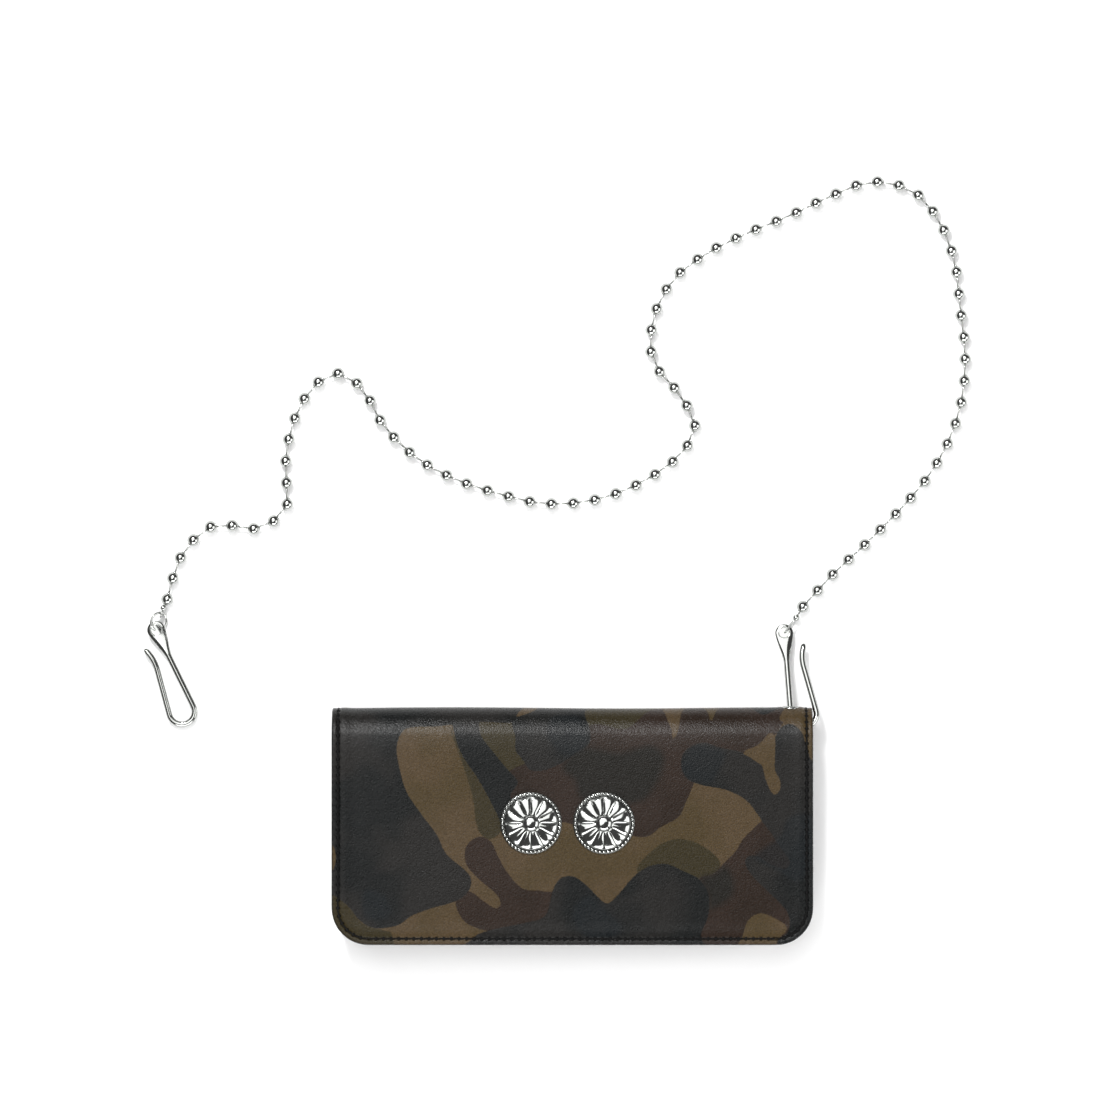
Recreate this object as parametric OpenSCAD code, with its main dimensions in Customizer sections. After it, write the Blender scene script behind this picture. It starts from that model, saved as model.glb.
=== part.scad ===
// Long bifold leather wallet with a ball chain and two J-hooks.
//
// Millimetres, +Z up. The wallet lies closed on its back cover on z = 0. Its fold runs along X on the
// +Y side, its open edge is on the -Y side, and the chain leaves the fold's +X end. The origin is the
// middle of the wallet's footprint, at the surface that it lies on.

/* [Wallet] */
// Length of the wallet, along the fold
wallet_w = 195; // [190:1:200]
// Depth of the closed wallet, from the open edge to the fold
wallet_d = 95.8; // [94:0.1:98]
// Outer radius of the rolled fold, half of the closed thickness
fold_r = 11; // [11:0.1:12]
// Radius of the two corners at the open edge
corner_r = 15; // [12:1:16]
// Thickness of the outer leather
cover_t = 2.2; // [2:0.1:2.3]
// Thickness of the lining
lining_t = 0.8; // [0.6:0.1:0.9]

/* [Stitching] */
// Distance of the edge stitching from the edge
stitch_inset = 2.6; // [2.4:0.1:3]
// Length of one visible stitch
stitch_len = 2.3; // [1.8:0.1:2.6]
// Width of the thread
thread_w = 0.7; // [0.5:0.1:0.8]

/* [Pockets] */
// Clear height of the note compartment and of the coin pocket
pocket_gap = 4.4; // [4.2:0.1:4.4]
// Thickness of the coin pocket's leather walls
wall_t = 1.0; // [0.8:0.1:1]
// Thickness of one card slot panel
card_t = 1.1; // [0.9:0.1:1.1]
// Step from one card slot's mouth to the next
card_step = 11; // [9:1:12]

/* [Ornaments] */
// Diameter of each round concho
concho_d = 25; // [20:1:27]
// Height of a concho above the leather
concho_h = 4.2; // [3.5:0.1:5]
// Distance between the two conchos' centres
concho_gap = 29.5; // [28:0.5:34]

/* [Chain] */
// Diameter of a chain ball
ball_d = 5; // [4:0.1:6]
// Number of balls
ball_count = 78; // [40:1:90]
// Diameter of the pins between the balls
pin_d = 0.8; // [0.6:0.1:1]

/* [Hooks] */
// Diameter of the hooks' wire
wire_d = 2.5; // [2.3:0.1:2.5]
// Bend radius at the middle of the wire
bend_r = 5.25; // [5.2:0.05:5.4]
// Length of the straight shank, from the bend to the eye's centre
shank_len = 34.4; // [34:0.1:35]
// Diameter of the flattened eye
eye_d = 7.4; // [7:0.1:8]
// Diameter of the hole in the eye
eye_hole_d = 4.2; // [4.1:0.1:4.4]
// Thickness of the flattened eye
eye_t = 1.4; // [1.2:0.1:1.5]

/* [Eyelet] */
// Diameter of the eyelet's flange
flange_d = 8; // [7.6:0.1:8.4]
// Diameter of the hole through the eyelet
eyelet_hole_d = 4.4; // [4.3:0.1:4.6]

/* [Hidden] */
$fn = 48;

// The fold: its axis runs along X at fold_y, fold_z
closed_t = 2 * fold_r;
fold_y = wallet_d / 2 - fold_r;
fold_z = fold_r;
open_edge_y = -wallet_d / 2;
// The front cover stops this far short of the fold, where it hinges
hinge_gap = 0.2;
cover_end_y = fold_y - hinge_gap;
// Length of anything that cuts right through a piece
through = 60;
skin = 1;

// Levels of the back half, from the table up
z_lining = cover_t;
z_bill = z_lining + lining_t;
z_rear_wall = z_bill + pocket_gap;
z_coin = z_rear_wall + wall_t;
z_front_wall = z_coin + pocket_gap;
z_zip = z_coin + pocket_gap / 2;
// Levels of the front half, from the outside in
z_front_cover = closed_t - cover_t;
z_front_lining = z_front_cover - lining_t;

// Stitching runs in a shallow groove
groove_w = thread_w + 0.2;
groove_depth = 0.4;
side_stitch_x = wallet_w / 2 - stitch_inset;
stitch_corner_r = corner_r - stitch_inset;
side_stitches = 22;
corner_stitches = 6;
bottom_stitches = 54;
fold_stitches = 11;

// Inside pieces keep this far inside the covers' edge
pocket_inset = 0.8;
pouch_inset = 7.5;
pocket_mouth_y = 33;
pouch_mouth_y = 31;
welt_w = 4;
edge_strip_w = 1.6;
gusset_depth = 6.4;
gusset_t = 0.6;
gusset_foot = 1.2;
corner_clear_y = open_edge_y + corner_r + 1;
column_gap = 1;

// Zip, closed, with its slider at the +X end
zip_x0 = -78;
zip_x1 = 74;
tooth_pitch = 2.4;
tooth_l = 1.3;
tooth_h = 2;
tooth_w = 0.85;
teeth_gap = 0.9;
tape_t = 0.6;
tape_depth = 8;
tape_end = 6;
slider_x = 70;
slider_l = 9;
slider_plate_t = 1;
slider_clear = 0.2;
slider_w = 5.4;
slider_inner_w = 2.6;
slider_post_l = 2.5;
slider_post_w = 0.6;
bridge_w = 1.4;
bridge_gap = 1.4;
bridge_bar = 0.8;
pull_l = 17;
pull_w = 5;
pull_t = 1;
pull_pin_r = 0.45;
pull_arm_w = 1.2;
slider_top = pouch_mouth_y + tooth_h / 2 + slider_clear + slider_plate_t;
pull_y = slider_top + slider_clear + pull_t / 2;

// Eyelet through the fold's leather, its axis along Y
eyelet_x = 88.7;
flange_t = 0.8;
flange_seat_y = wallet_d / 2 - flange_t;
washer_t = 0.8;
washer_seat_y = wallet_d / 2 - cover_t - lining_t - 0.3;
barrel_t = 0.5;
barrel_r = eyelet_hole_d / 2 + barrel_t;
seat_clear = 0.1;
eyelet_y = (flange_seat_y + flange_t + washer_seat_y - washer_t) / 2;

// Conchos, with a screw through the cover from behind
concho_y = 1.5;
concho_x = -2;
post_r = 1.9;
post_clear = 0.1;
screw_head_r = 4.5;
screw_head_t = 0.8;

// Shape of a hook, seen from above with its eye at the origin and its bend towards -Y
wire_r = wire_d / 2;
shank_lean = 11;
bend_x = shank_len * sin(shank_lean) - bend_r * cos(shank_lean);
bend_y = -shank_len * cos(shank_lean) - bend_r * sin(shank_lean);
leg_len = 19;
flare_r = 16.6;
flare_angle = 26;
tip_len = 2.6;
neck_len = 11.5;
eye_r = eye_d / 2;
neck_angle = asin((eye_r - wire_r) / neck_len);
leg_x = bend_x - bend_r;
leg_top_y = bend_y + leg_len;
hook_sides = 16;
eye_step = 13;
bend_steps = 16;
flare_step = 6.5;

// Stations along the hook: [point, direction across the wire, half width, half thickness]
function on_shank(s) = [s * sin(shank_lean), -s * cos(shank_lean)];
shank_across = [cos(shank_lean), sin(shank_lean)];
flare_end = [leg_x - flare_r + flare_r * cos(flare_angle), leg_top_y + flare_r * sin(flare_angle)];
flare_across = [-cos(flare_angle), -sin(flare_angle)];
flare_way = [-sin(flare_angle), cos(flare_angle)];
hook_stations = concat(
    [for (a = [-89 : eye_step : neck_angle - eye_step / 2])
        [on_shank(eye_r * sin(a)), shank_across, eye_r * cos(a), eye_t / 2 * min(1, cos(a) * 2)]],
    [for (f = [0 : 0.25 : 1])
        let (s = eye_r * sin(neck_angle) + f * neck_len * cos(neck_angle) ^ 2)
            [on_shank(s), shank_across, eye_r * cos(neck_angle) * (1 - f) + wire_r * f,
                eye_t / 2 * (1 - f) + wire_r * f]],
    [for (a = [shank_lean : -(180 + shank_lean) / bend_steps : -180.01])
        [[bend_x + bend_r * cos(a), bend_y + bend_r * sin(a)], [cos(a), sin(a)], wire_r, wire_r]],
    [for (a = [0 : flare_step : flare_angle])
        [[leg_x - flare_r + flare_r * cos(a), leg_top_y + flare_r * sin(a)],
            [-cos(a), -sin(a)], wire_r, wire_r]],
    [for (f = [0.5 : 0.25 : 1])
        [flare_end + f * tip_len * flare_way, flare_across,
            wire_r * sqrt(1.02 - f * f), wire_r * sqrt(1.02 - f * f)]]
);

// The wallet hook's shank goes through the eyelet and down to its eye
hook_turn = 15;
hook_pitch = 14;
hook_reach = 33.5;
hook_heading = hook_turn - shank_lean;
hook_dir = [
    sin(hook_heading),
    -cos(hook_heading) * cos(hook_pitch),
    cos(hook_heading) * sin(hook_pitch)
];
eyelet_pos = [eyelet_x, eyelet_y, fold_z];
wallet_eye = eyelet_pos - hook_reach * hook_dir;

// Links at the chain's two ends
near_heading = 52;
near_loop_r = 1.75;
near_loop_wire_r = 0.45;
near_loop_len = 4;
near_ball_r = 1.4;
near_ball_at = 7.9;
belt_eye = [-169.5, 79.5, 2.8];
belt_hook_turn = 15;
belt_hook_tip_down = 2.1;
far_heading = 72;
ring_r = 3.7;
ring_wire_r = 0.5;
ring_lean = 37;
ring_at = 3.55;
far_loop_r = 1.5;
far_loop_wire_r = 0.4;
far_loop_at = 7.05;
far_ball_r = 1.3;
far_ball_at = 9.4;

// The chain lies on the table; its route, from the wallet's hook to the belt hook
ball_r = ball_d / 2;
chain_z = 2.5;
chain_route = [
    [94, 89], [106, 102], [120, 115], [133, 128], [145, 142],
    [154, 158], [159, 175], [160, 193], [158, 211], [156, 228],
    [150, 245], [139, 258], [122, 262], [105, 256], [88, 248],
    [71, 241], [55, 233], [41, 222], [33, 206], [33, 189],
    [44, 175], [50, 162], [42, 149], [25, 138], [7, 132],
    [-12, 131], [-30, 135], [-48, 141], [-64, 150], [-77, 163],
    [-85, 177], [-95, 184], [-106, 178], [-114, 163], [-117, 145],
    [-116, 131], [-127, 121], [-146, 122], [-159, 110], [-165, 92]
];
pin_gap = 0.02;

// ---- functions ----

function unit(v) = v / norm(v);

// Point at u, from 0 to 1, on the smooth curve through b and c
function curve_point(a, b, c, d, u) =
    0.5 * ((2 * b) + (c - a) * u + (2 * a - 5 * b + 4 * c - d) * u * u
        + (3 * b - a - 3 * c + d) * u * u * u);

function route_at(pts, i) = pts[max(0, min(len(pts) - 1, i))];

curve_steps = 12;
curve = concat(
    [for (i = [0 : len(chain_route) - 2])
        for (k = [0 : curve_steps - 1])
            curve_point(route_at(chain_route, i - 1), chain_route[i], chain_route[i + 1],
                route_at(chain_route, i + 2), k / curve_steps)],
    [chain_route[len(chain_route) - 1]]
);

// Distance along the curve at each of its points
run = [for (i = 0, s = 0; i < len(curve); s = s + (i + 1 < len(curve) ? norm(curve[i + 1] - curve[i]) : 0),
    i = i + 1) s];
run_x = [for (i = [0 : len(curve) - 1]) [run[i], curve[i][0]]];
run_y = [for (i = [0 : len(curve) - 1]) [run[i], curve[i][1]]];
ball_pitch = run[len(run) - 1] / (ball_count - 1);
ball_centres = [for (i = [0 : ball_count - 1])
    [lookup(i * ball_pitch, run_x), lookup(i * ball_pitch, run_y), chain_z]];

function beside(p, heading, distance, z) =
    [p[0] + distance * cos(heading), p[1] + distance * sin(heading), z];

near_ball_pos = beside(wallet_eye, near_heading, near_ball_at, chain_z);
far_ball_pos = beside(belt_eye, far_heading, far_ball_at, chain_z);

// ---- building blocks ----

// Outline of the covers, drawn in by a distance and cut square at y_top
module cover_outline(inset, y_top) {
    w = wallet_w - 2 * inset;
    y0 = open_edge_y + inset;
    r = corner_r - inset;
    translate([-w / 2, y0 + r]) square([w, y_top - y0 - r]);
    translate([-w / 2 + r, y0]) square([w - 2 * r, y_top - y0]);
    for (side = [-1, 1])
        translate([side * (w / 2 - r), y0 + r]) circle(r = r);
}

// The half of a ring around the fold's axis that faces +Y
module half_ring(r, t) {
    difference() {
        circle(r = r);
        circle(r = r - t);
        translate([-2 * r, -2 * r]) square([2 * r, 4 * r]);
    }
}

// A layer of the back half that goes on round the fold, rounded at the open edge
module folded_layer(r, t, inset) {
    intersection() {
        rotate([90, 0, 90])
            translate([0, 0, -wallet_w / 2 + inset])
                linear_extrude(wallet_w - 2 * inset) {
                    translate([open_edge_y, fold_z - r]) square([fold_y - open_edge_y, t]);
                    translate([fold_y, fold_z]) half_ring(r, t);
                }
        translate([0, 0, -skin]) linear_extrude(through) cover_outline(inset, wallet_d);
    }
}

// Groove for the edge stitching, along three edges
module stitch_groove(z, y_top) {
    translate([0, 0, z])
        linear_extrude(groove_depth + skin)
            difference() {
                cover_outline(stitch_inset - groove_w / 2, y_top);
                cover_outline(stitch_inset + groove_w / 2, y_top + skin);
            }
}

module stitch(z) {
    translate([-thread_w / 2, -stitch_len / 2, z]) cube([thread_w, stitch_len, groove_depth]);
}

// Stitches along both ends, the two corners and the open edge
module edge_stitches(z) {
    corner_x = wallet_w / 2 - corner_r;
    corner_y = open_edge_y + corner_r;
    side_pitch = (fold_y - corner_y) / side_stitches;
    corner_pitch = 90 / corner_stitches;
    bottom_pitch = 2 * corner_x / bottom_stitches;
    for (side = [-1, 1]) {
        for (i = [0 : side_stitches - 1])
            translate([side * side_stitch_x, corner_y + (i + 0.5) * side_pitch, 0]) stitch(z);
        for (i = [0 : corner_stitches - 1])
            translate([side * corner_x, corner_y, 0])
                rotate([0, 0, side * (i + 0.5) * corner_pitch - side * 90])
                    translate([side * stitch_corner_r, 0, 0]) stitch(z);
    }
    for (i = [0 : bottom_stitches - 1])
        translate([-corner_x + (i + 0.5) * bottom_pitch, open_edge_y + stitch_inset, 0])
            rotate([0, 0, 90]) stitch(z);
}

// A half hoop around the fold: a bar of width w, in a ring from r inwards, starting at a given angle
module fold_hoop(r, t, w, start, angle) {
    rotate([0, 90, 0]) rotate([0, 0, start]) rotate_extrude(angle = angle)
        translate([r - t, -w / 2]) square([t, w]);
}

module eyelet_bore() {
    translate([eyelet_x, 0, fold_z]) rotate([-90, 0, 0]) {
        cylinder(r = barrel_r, h = through);
        translate([0, 0, flange_seat_y]) cylinder(r = flange_d / 2 + seat_clear, h = through);
    }
}

module washer_seat() {
    translate([eyelet_x, fold_y, fold_z]) rotate([-90, 0, 0])
        cylinder(r = flange_d / 2 + seat_clear, h = washer_seat_y - fold_y);
}

// Closed skin over the hook's stations, each one an oval across the wire
module hook_skin() {
    count = len(hook_stations);
    points = [for (st = hook_stations) for (k = [0 : hook_sides - 1])
        let (t = 360 * k / hook_sides, across = st[2] * cos(t))
            [st[0][0] + across * st[1][0], st[0][1] + across * st[1][1], st[3] * sin(t)]];
    sides = [for (i = [0 : count - 2]) for (k = [0 : hook_sides - 1])
        let (j = (k + 1) % hook_sides, low = i * hook_sides, high = low + hook_sides)
            [low + k, low + j, high + j, high + k]];
    caps = [
        [for (k = [hook_sides - 1 : -1 : 0]) k],
        [for (k = [0 : hook_sides - 1]) (count - 1) * hook_sides + k]
    ];
    polyhedron(points = points, faces = concat(sides, caps), convexity = 6);
}

// Hook lying flat, its eye's centre at the origin and its bend towards -Y
module j_hook() {
    difference() {
        hook_skin();
        cylinder(r = eye_hole_d / 2, h = through, center = true);
    }
}

// Pin from one ball to the next, its ends just clear of both
module chain_pin(a, b, ra, rb) {
    way = b - a;
    gap = norm(way) - ra - rb - 2 * pin_gap;
    translate(a + unit(way) * (ra + pin_gap))
        rotate([0, 90, atan2(way[1], way[0])]) cylinder(r = pin_d / 2, h = gap, $fn = 24);
}

// ---- back half ----

module outer_leather_back() {
    color("#4a4136") difference() {
        folded_layer(fold_r, cover_t, 0);
        stitch_groove(-skin, fold_y);
        for (side = [-1, 1])
            translate([side * side_stitch_x, fold_y, fold_z])
                fold_hoop(fold_r + skin, groove_depth + skin, groove_w, 0, 180);
        eyelet_bore();
    }
}

module lining_back() {
    color("#1d1b1a") difference() {
        folded_layer(fold_r - cover_t, lining_t, 0);
        eyelet_bore();
        washer_seat();
    }
}

module stitching_back() {
    pitch = 180 / fold_stitches;
    angle = pitch * stitch_len / (PI * fold_r / fold_stitches);
    color("#141414") {
        edge_stitches(0);
        for (side = [-1, 1])
            for (i = [0 : fold_stitches - 1])
                translate([side * side_stitch_x, fold_y, fold_z])
                    fold_hoop(fold_r, groove_depth, thread_w, (i + 0.5) * pitch - angle / 2, angle);
    }
}

// Leather folded inwards once, which lets the note compartment open
module bill_gusset() {
    top = pocket_gap;
    translate([wallet_w / 2 - pocket_inset, pocket_mouth_y, z_bill])
        rotate([90, 0, 0]) linear_extrude(pocket_mouth_y - corner_clear_y)
            polygon([
                [0, 0], [0, gusset_t], [gusset_foot - gusset_depth + gusset_t, top / 2],
                [0, top - gusset_t], [0, top], [-gusset_foot, top],
                [-gusset_depth, top / 2], [-gusset_foot, 0]
            ]);
}

module bill_gusset_left() {
    color("#2a2724") mirror([1, 0, 0]) bill_gusset();
}

module bill_gusset_right() {
    color("#2a2724") bill_gusset();
}

module bill_bottom_welt() {
    color("#2a2724") translate([0, 0, z_bill]) linear_extrude(pocket_gap) difference() {
        cover_outline(pocket_inset, fold_y);
        cover_outline(pocket_inset + welt_w, fold_y + skin);
        translate([-wallet_w / 2, corner_clear_y]) square([wallet_w, wallet_d]);
    }
}

module coin_pocket_rear_wall() {
    color("#2f2b28") translate([0, 0, z_rear_wall]) linear_extrude(wall_t)
        cover_outline(pocket_inset, pouch_mouth_y);
}

module coin_pocket_edge_strip() {
    color("#2a2724") translate([0, 0, z_coin]) linear_extrude(pocket_gap) difference() {
        cover_outline(pouch_inset, pouch_mouth_y);
        cover_outline(pouch_inset + edge_strip_w, pouch_mouth_y + skin);
    }
}

module coin_pocket_front_wall() {
    color("#2f2b28") translate([0, 0, z_front_wall]) linear_extrude(wall_t)
        cover_outline(pouch_inset, pouch_mouth_y);
}

// ---- zip ----

// Tape sewn inside one wall and turned over at the mouth, where the teeth sit on its edge
module zipper_tape() {
    reach = (pocket_gap - teeth_gap) / 2 - tooth_w;
    color("#1a1a1a") translate([zip_x0 - tape_end, pouch_mouth_y, z_zip]) rotate([90, 0, 90])
        linear_extrude(zip_x1 - zip_x0 + 2 * tape_end)
            polygon([
                [-tape_depth, -pocket_gap / 2], [0, -pocket_gap / 2], [0, reach - pocket_gap / 2],
                [-tape_t, reach - pocket_gap / 2], [-tape_t, tape_t - pocket_gap / 2],
                [-tape_depth, tape_t - pocket_gap / 2]
            ]);
}

module zipper_teeth(offset) {
    count = floor((zip_x1 - zip_x0) / tooth_pitch);
    color("#b8a878") for (i = [0 : count - 1])
        translate([zip_x0 + offset + i * tooth_pitch, pouch_mouth_y - tape_t / 2 - tooth_h / 2,
            z_zip - teeth_gap / 2 - tooth_w])
            cube([tooth_l, tooth_h, tooth_w]);
}

// The front tape and teeth mirror the rear ones about the middle of the zip
module across_zip() {
    translate([0, 0, 2 * z_zip]) mirror([0, 0, 1]) children();
}

module zipper_tape_rear() {
    zipper_tape();
}

module zipper_tape_front() {
    across_zip() zipper_tape();
}

module zipper_teeth_rear() {
    zipper_teeth(0);
}

module zipper_teeth_front() {
    across_zip() zipper_teeth(tooth_pitch / 2);
}

module zipper_stops() {
    stop_l = 2;
    stop_w = 2 * tooth_w + teeth_gap;
    color("#b8a878") {
        translate([zip_x0 - stop_l - slider_clear, pouch_mouth_y - tape_t / 2 - tooth_h / 2,
            z_zip - stop_w / 2])
            cube([stop_l, tooth_h, stop_w]);
        for (side = [0, 1])
            translate([zip_x1 + tooth_pitch, pouch_mouth_y - tape_t / 2 - tooth_h / 2,
                z_zip - stop_w / 2 + side * (stop_w - tooth_w)])
                cube([stop_l, tooth_h, tooth_w]);
    }
}

module zipper_slider() {
    plate_y = slider_top - slider_plate_t;
    low_y = pouch_mouth_y - tape_t / 2 - tooth_h / 2 - slider_clear;
    bridge_top = slider_top + bridge_gap + bridge_bar;
    color("#b8a878") translate([slider_x, 0, z_zip]) {
        translate([-slider_l / 2, plate_y, -slider_w / 2]) cube([slider_l, slider_plate_t, slider_w]);
        translate([-slider_l / 2, low_y - slider_plate_t, -slider_inner_w / 2])
            cube([slider_l, slider_plate_t, slider_inner_w]);
        translate([-slider_post_l / 2, low_y - slider_plate_t / 2, -slider_post_w / 2])
            cube([slider_post_l, plate_y - low_y + slider_plate_t, slider_post_w]);
        difference() {
            translate([-slider_l / 2 + 1, slider_top - slider_plate_t / 2, -bridge_w / 2])
                cube([slider_l - 2, bridge_top - slider_top + slider_plate_t / 2, bridge_w]);
            translate([-slider_l / 2 + 2, slider_top, -bridge_w])
                cube([slider_l - 4, bridge_gap, 2 * bridge_w]);
        }
    }
}

module zipper_pull() {
    inner = pull_w / 2 - pull_arm_w;
    arm_l = slider_l / 2 + 1;
    color("#b8a878") translate([slider_x, pull_y, z_zip]) {
        cylinder(r = pull_pin_r, h = pull_w, center = true);
        for (side = [-1, 1])
            translate([-arm_l, -pull_t / 2, side * (pull_w - pull_arm_w) / 2 - pull_arm_w / 2])
                cube([arm_l + pull_pin_r, pull_t, pull_arm_w]);
        difference() {
            translate([-pull_l, -pull_t / 2, -pull_w / 2]) cube([pull_l - arm_l + 1, pull_t, pull_w]);
            translate([-pull_l + pull_w / 2, 0, 0]) rotate([90, 0, 0])
                cylinder(r = inner, h = 2 * pull_t, center = true);
        }
    }
}

// ---- eyelet ----

module eyelet() {
    lip = 0.15;
    color("#c8cacb") translate([eyelet_x, washer_seat_y - washer_t - lip, fold_z]) rotate([-90, 0, 0])
        difference() {
            union() {
                cylinder(r = barrel_r, h = wallet_d / 2 - washer_seat_y + washer_t + lip);
                translate([0, 0, flange_seat_y - washer_seat_y + washer_t + lip])
                    cylinder(r = flange_d / 2, h = flange_t);
            }
            translate([0, 0, -skin]) cylinder(r = eyelet_hole_d / 2, h = through);
        }
}

module eyelet_washer() {
    color("#c8cacb") translate([eyelet_x, washer_seat_y - washer_t, fold_z]) rotate([-90, 0, 0])
        difference() {
            cylinder(r = flange_d / 2, h = washer_t);
            translate([0, 0, -skin]) cylinder(r = barrel_r, h = through);
        }
}

// ---- front half ----

module at_conchos() {
    for (side = [-1, 1])
        translate([concho_x + side * concho_gap / 2, concho_y, 0]) children();
}

module outer_leather_front() {
    color("#4a4136") difference() {
        translate([0, 0, z_front_cover]) linear_extrude(cover_t) cover_outline(0, cover_end_y);
        stitch_groove(closed_t - groove_depth, fold_y);
        at_conchos() {
            cylinder(r = post_r + post_clear, h = through);
            translate([0, 0, z_front_cover - skin])
                cylinder(r = screw_head_r + post_clear, h = screw_head_t + skin);
        }
    }
}

module lining_front() {
    color("#1d1b1a") translate([0, 0, z_front_lining]) linear_extrude(lining_t)
        cover_outline(0, cover_end_y);
}

module stitching_front() {
    color("#141414") intersection() {
        edge_stitches(closed_t - groove_depth);
        linear_extrude(through) cover_outline(0, cover_end_y);
    }
}

// One stepped panel of a column of card slots; panel 1 lies against the lining
module card_slot(side, number) {
    color("#2f2b28")
        translate([0, 0, z_front_lining - number * card_t]) linear_extrude(card_t) intersection() {
            cover_outline(pocket_inset, pocket_mouth_y - (number - 1) * card_step);
            translate([side > 0 ? column_gap / 2 : -wallet_w / 2, open_edge_y])
                square([(wallet_w - column_gap) / 2, wallet_d]);
        }
}

module concho() {
    rim_r = 0.9;
    dome_base = concho_d / 2 - 2 * rim_r;
    dome_h = concho_h - rim_r;
    dome_r = (dome_base * dome_base + dome_h * dome_h) / (2 * dome_h);
    color("#c8cacb") translate([0, 0, closed_t]) {
        cylinder(r = concho_d / 2 - rim_r, h = rim_r);
        translate([0, 0, rim_r]) rotate_extrude() translate([concho_d / 2 - rim_r, 0]) circle(r = rim_r);
        intersection() {
            translate([0, 0, rim_r + dome_h - dome_r]) sphere(r = dome_r);
            cylinder(r = dome_base, h = through);
        }
    }
}

module concho_left() {
    translate([concho_x - concho_gap / 2, concho_y, 0]) concho();
}

module concho_right() {
    translate([concho_x + concho_gap / 2, concho_y, 0]) concho();
}

module concho_screws() {
    color("#b9bbbc") at_conchos() {
        translate([0, 0, z_front_cover]) cylinder(r = post_r, h = cover_t);
        translate([0, 0, z_front_cover]) cylinder(r = screw_head_r, h = screw_head_t);
    }
}

// ---- hooks and chain ----

module wallet_hook() {
    color("#c8cacb") translate(wallet_eye) rotate([-hook_pitch, 0, 0]) rotate([0, 0, hook_turn])
        mirror([1, 0, 0]) j_hook();
}

module belt_hook() {
    color("#c8cacb") translate(belt_eye) rotate([belt_hook_tip_down, 0, 0])
        rotate([0, 0, belt_hook_turn]) j_hook();
}

// Upright oval loop through the hook's eye, on a small end ball
module near_end_link() {
    color("#c8cacb") {
        translate([wallet_eye[0], wallet_eye[1], chain_z]) rotate([0, 0, near_heading])
            rotate([90, 0, 0]) {
                translate([near_loop_r, 0, 0]) rotate([0, 0, 90]) rotate_extrude(angle = 180)
                    translate([near_loop_r, 0]) circle(r = near_loop_wire_r, $fn = 24);
                translate([near_loop_r + near_loop_len, 0, 0]) rotate([0, 0, -90])
                    rotate_extrude(angle = 180)
                        translate([near_loop_r, 0]) circle(r = near_loop_wire_r, $fn = 24);
                for (side = [-1, 1])
                    translate([near_loop_r, side * near_loop_r, 0]) rotate([0, 90, 0])
                        cylinder(r = near_loop_wire_r, h = near_loop_len, $fn = 24);
            }
        translate(near_ball_pos) sphere(r = near_ball_r);
    }
}

module chain_balls() {
    color("#c8cacb") for (p = ball_centres) translate(p) sphere(r = ball_r);
}

module chain_pins() {
    color("#c8cacb") {
        for (i = [0 : ball_count - 2])
            chain_pin(ball_centres[i], ball_centres[i + 1], ball_r, ball_r);
        chain_pin(near_ball_pos, ball_centres[0], near_ball_r, ball_r);
        chain_pin(ball_centres[ball_count - 1], far_ball_pos, ball_r, far_ball_r);
    }
}

module far_end_link() {
    color("#c8cacb") {
        translate(beside(belt_eye, far_heading, far_loop_at, chain_z)) rotate([90, 0, far_heading])
            rotate_extrude() translate([far_loop_r, 0]) circle(r = far_loop_wire_r, $fn = 24);
        translate(far_ball_pos) sphere(r = far_ball_r);
    }
}

module jump_ring() {
    color("#c8cacb") translate(belt_eye) rotate([0, 0, far_heading]) rotate([ring_lean, 0, 0])
        translate([ring_at, 0, 0]) rotate_extrude() translate([ring_r, 0]) circle(r = ring_wire_r);
}

outer_leather_back();
lining_back();
stitching_back();
bill_gusset_left();
bill_gusset_right();
bill_bottom_welt();
coin_pocket_rear_wall();
coin_pocket_edge_strip();
coin_pocket_front_wall();
zipper_tape_rear();
zipper_tape_front();
zipper_teeth_rear();
zipper_teeth_front();
zipper_stops();
zipper_slider();
zipper_pull();
eyelet();
eyelet_washer();
outer_leather_front();
lining_front();
stitching_front();
card_slot(-1, 1);  // card_slot_left_1
card_slot(-1, 2);  // card_slot_left_2
card_slot(-1, 3);  // card_slot_left_3
card_slot(-1, 4);  // card_slot_left_4
card_slot(1, 1);  // card_slot_right_1
card_slot(1, 2);  // card_slot_right_2
card_slot(1, 3);  // card_slot_right_3
card_slot(1, 4);  // card_slot_right_4
concho_left();
concho_right();
concho_screws();
wallet_hook();
near_end_link();
chain_balls();
chain_pins();
far_end_link();
jump_ring();
belt_hook();
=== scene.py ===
import math
import random

import bmesh
import bpy
import numpy as np
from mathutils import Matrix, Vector


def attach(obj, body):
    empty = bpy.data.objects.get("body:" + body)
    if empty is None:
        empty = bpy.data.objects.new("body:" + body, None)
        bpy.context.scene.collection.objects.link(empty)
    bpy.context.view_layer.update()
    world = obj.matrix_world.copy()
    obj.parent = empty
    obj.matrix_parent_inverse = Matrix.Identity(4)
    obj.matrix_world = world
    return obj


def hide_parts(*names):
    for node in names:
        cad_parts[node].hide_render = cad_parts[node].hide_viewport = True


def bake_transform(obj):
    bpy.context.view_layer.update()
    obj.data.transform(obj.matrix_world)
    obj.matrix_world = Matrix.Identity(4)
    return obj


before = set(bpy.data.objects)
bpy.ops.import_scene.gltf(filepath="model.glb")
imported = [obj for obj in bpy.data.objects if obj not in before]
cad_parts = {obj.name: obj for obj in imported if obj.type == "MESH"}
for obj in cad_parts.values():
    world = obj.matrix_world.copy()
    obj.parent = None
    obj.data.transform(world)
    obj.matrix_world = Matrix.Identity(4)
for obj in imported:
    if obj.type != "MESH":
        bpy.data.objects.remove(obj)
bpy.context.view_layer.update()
scene = bpy.context.scene
MM = 0.001

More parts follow.
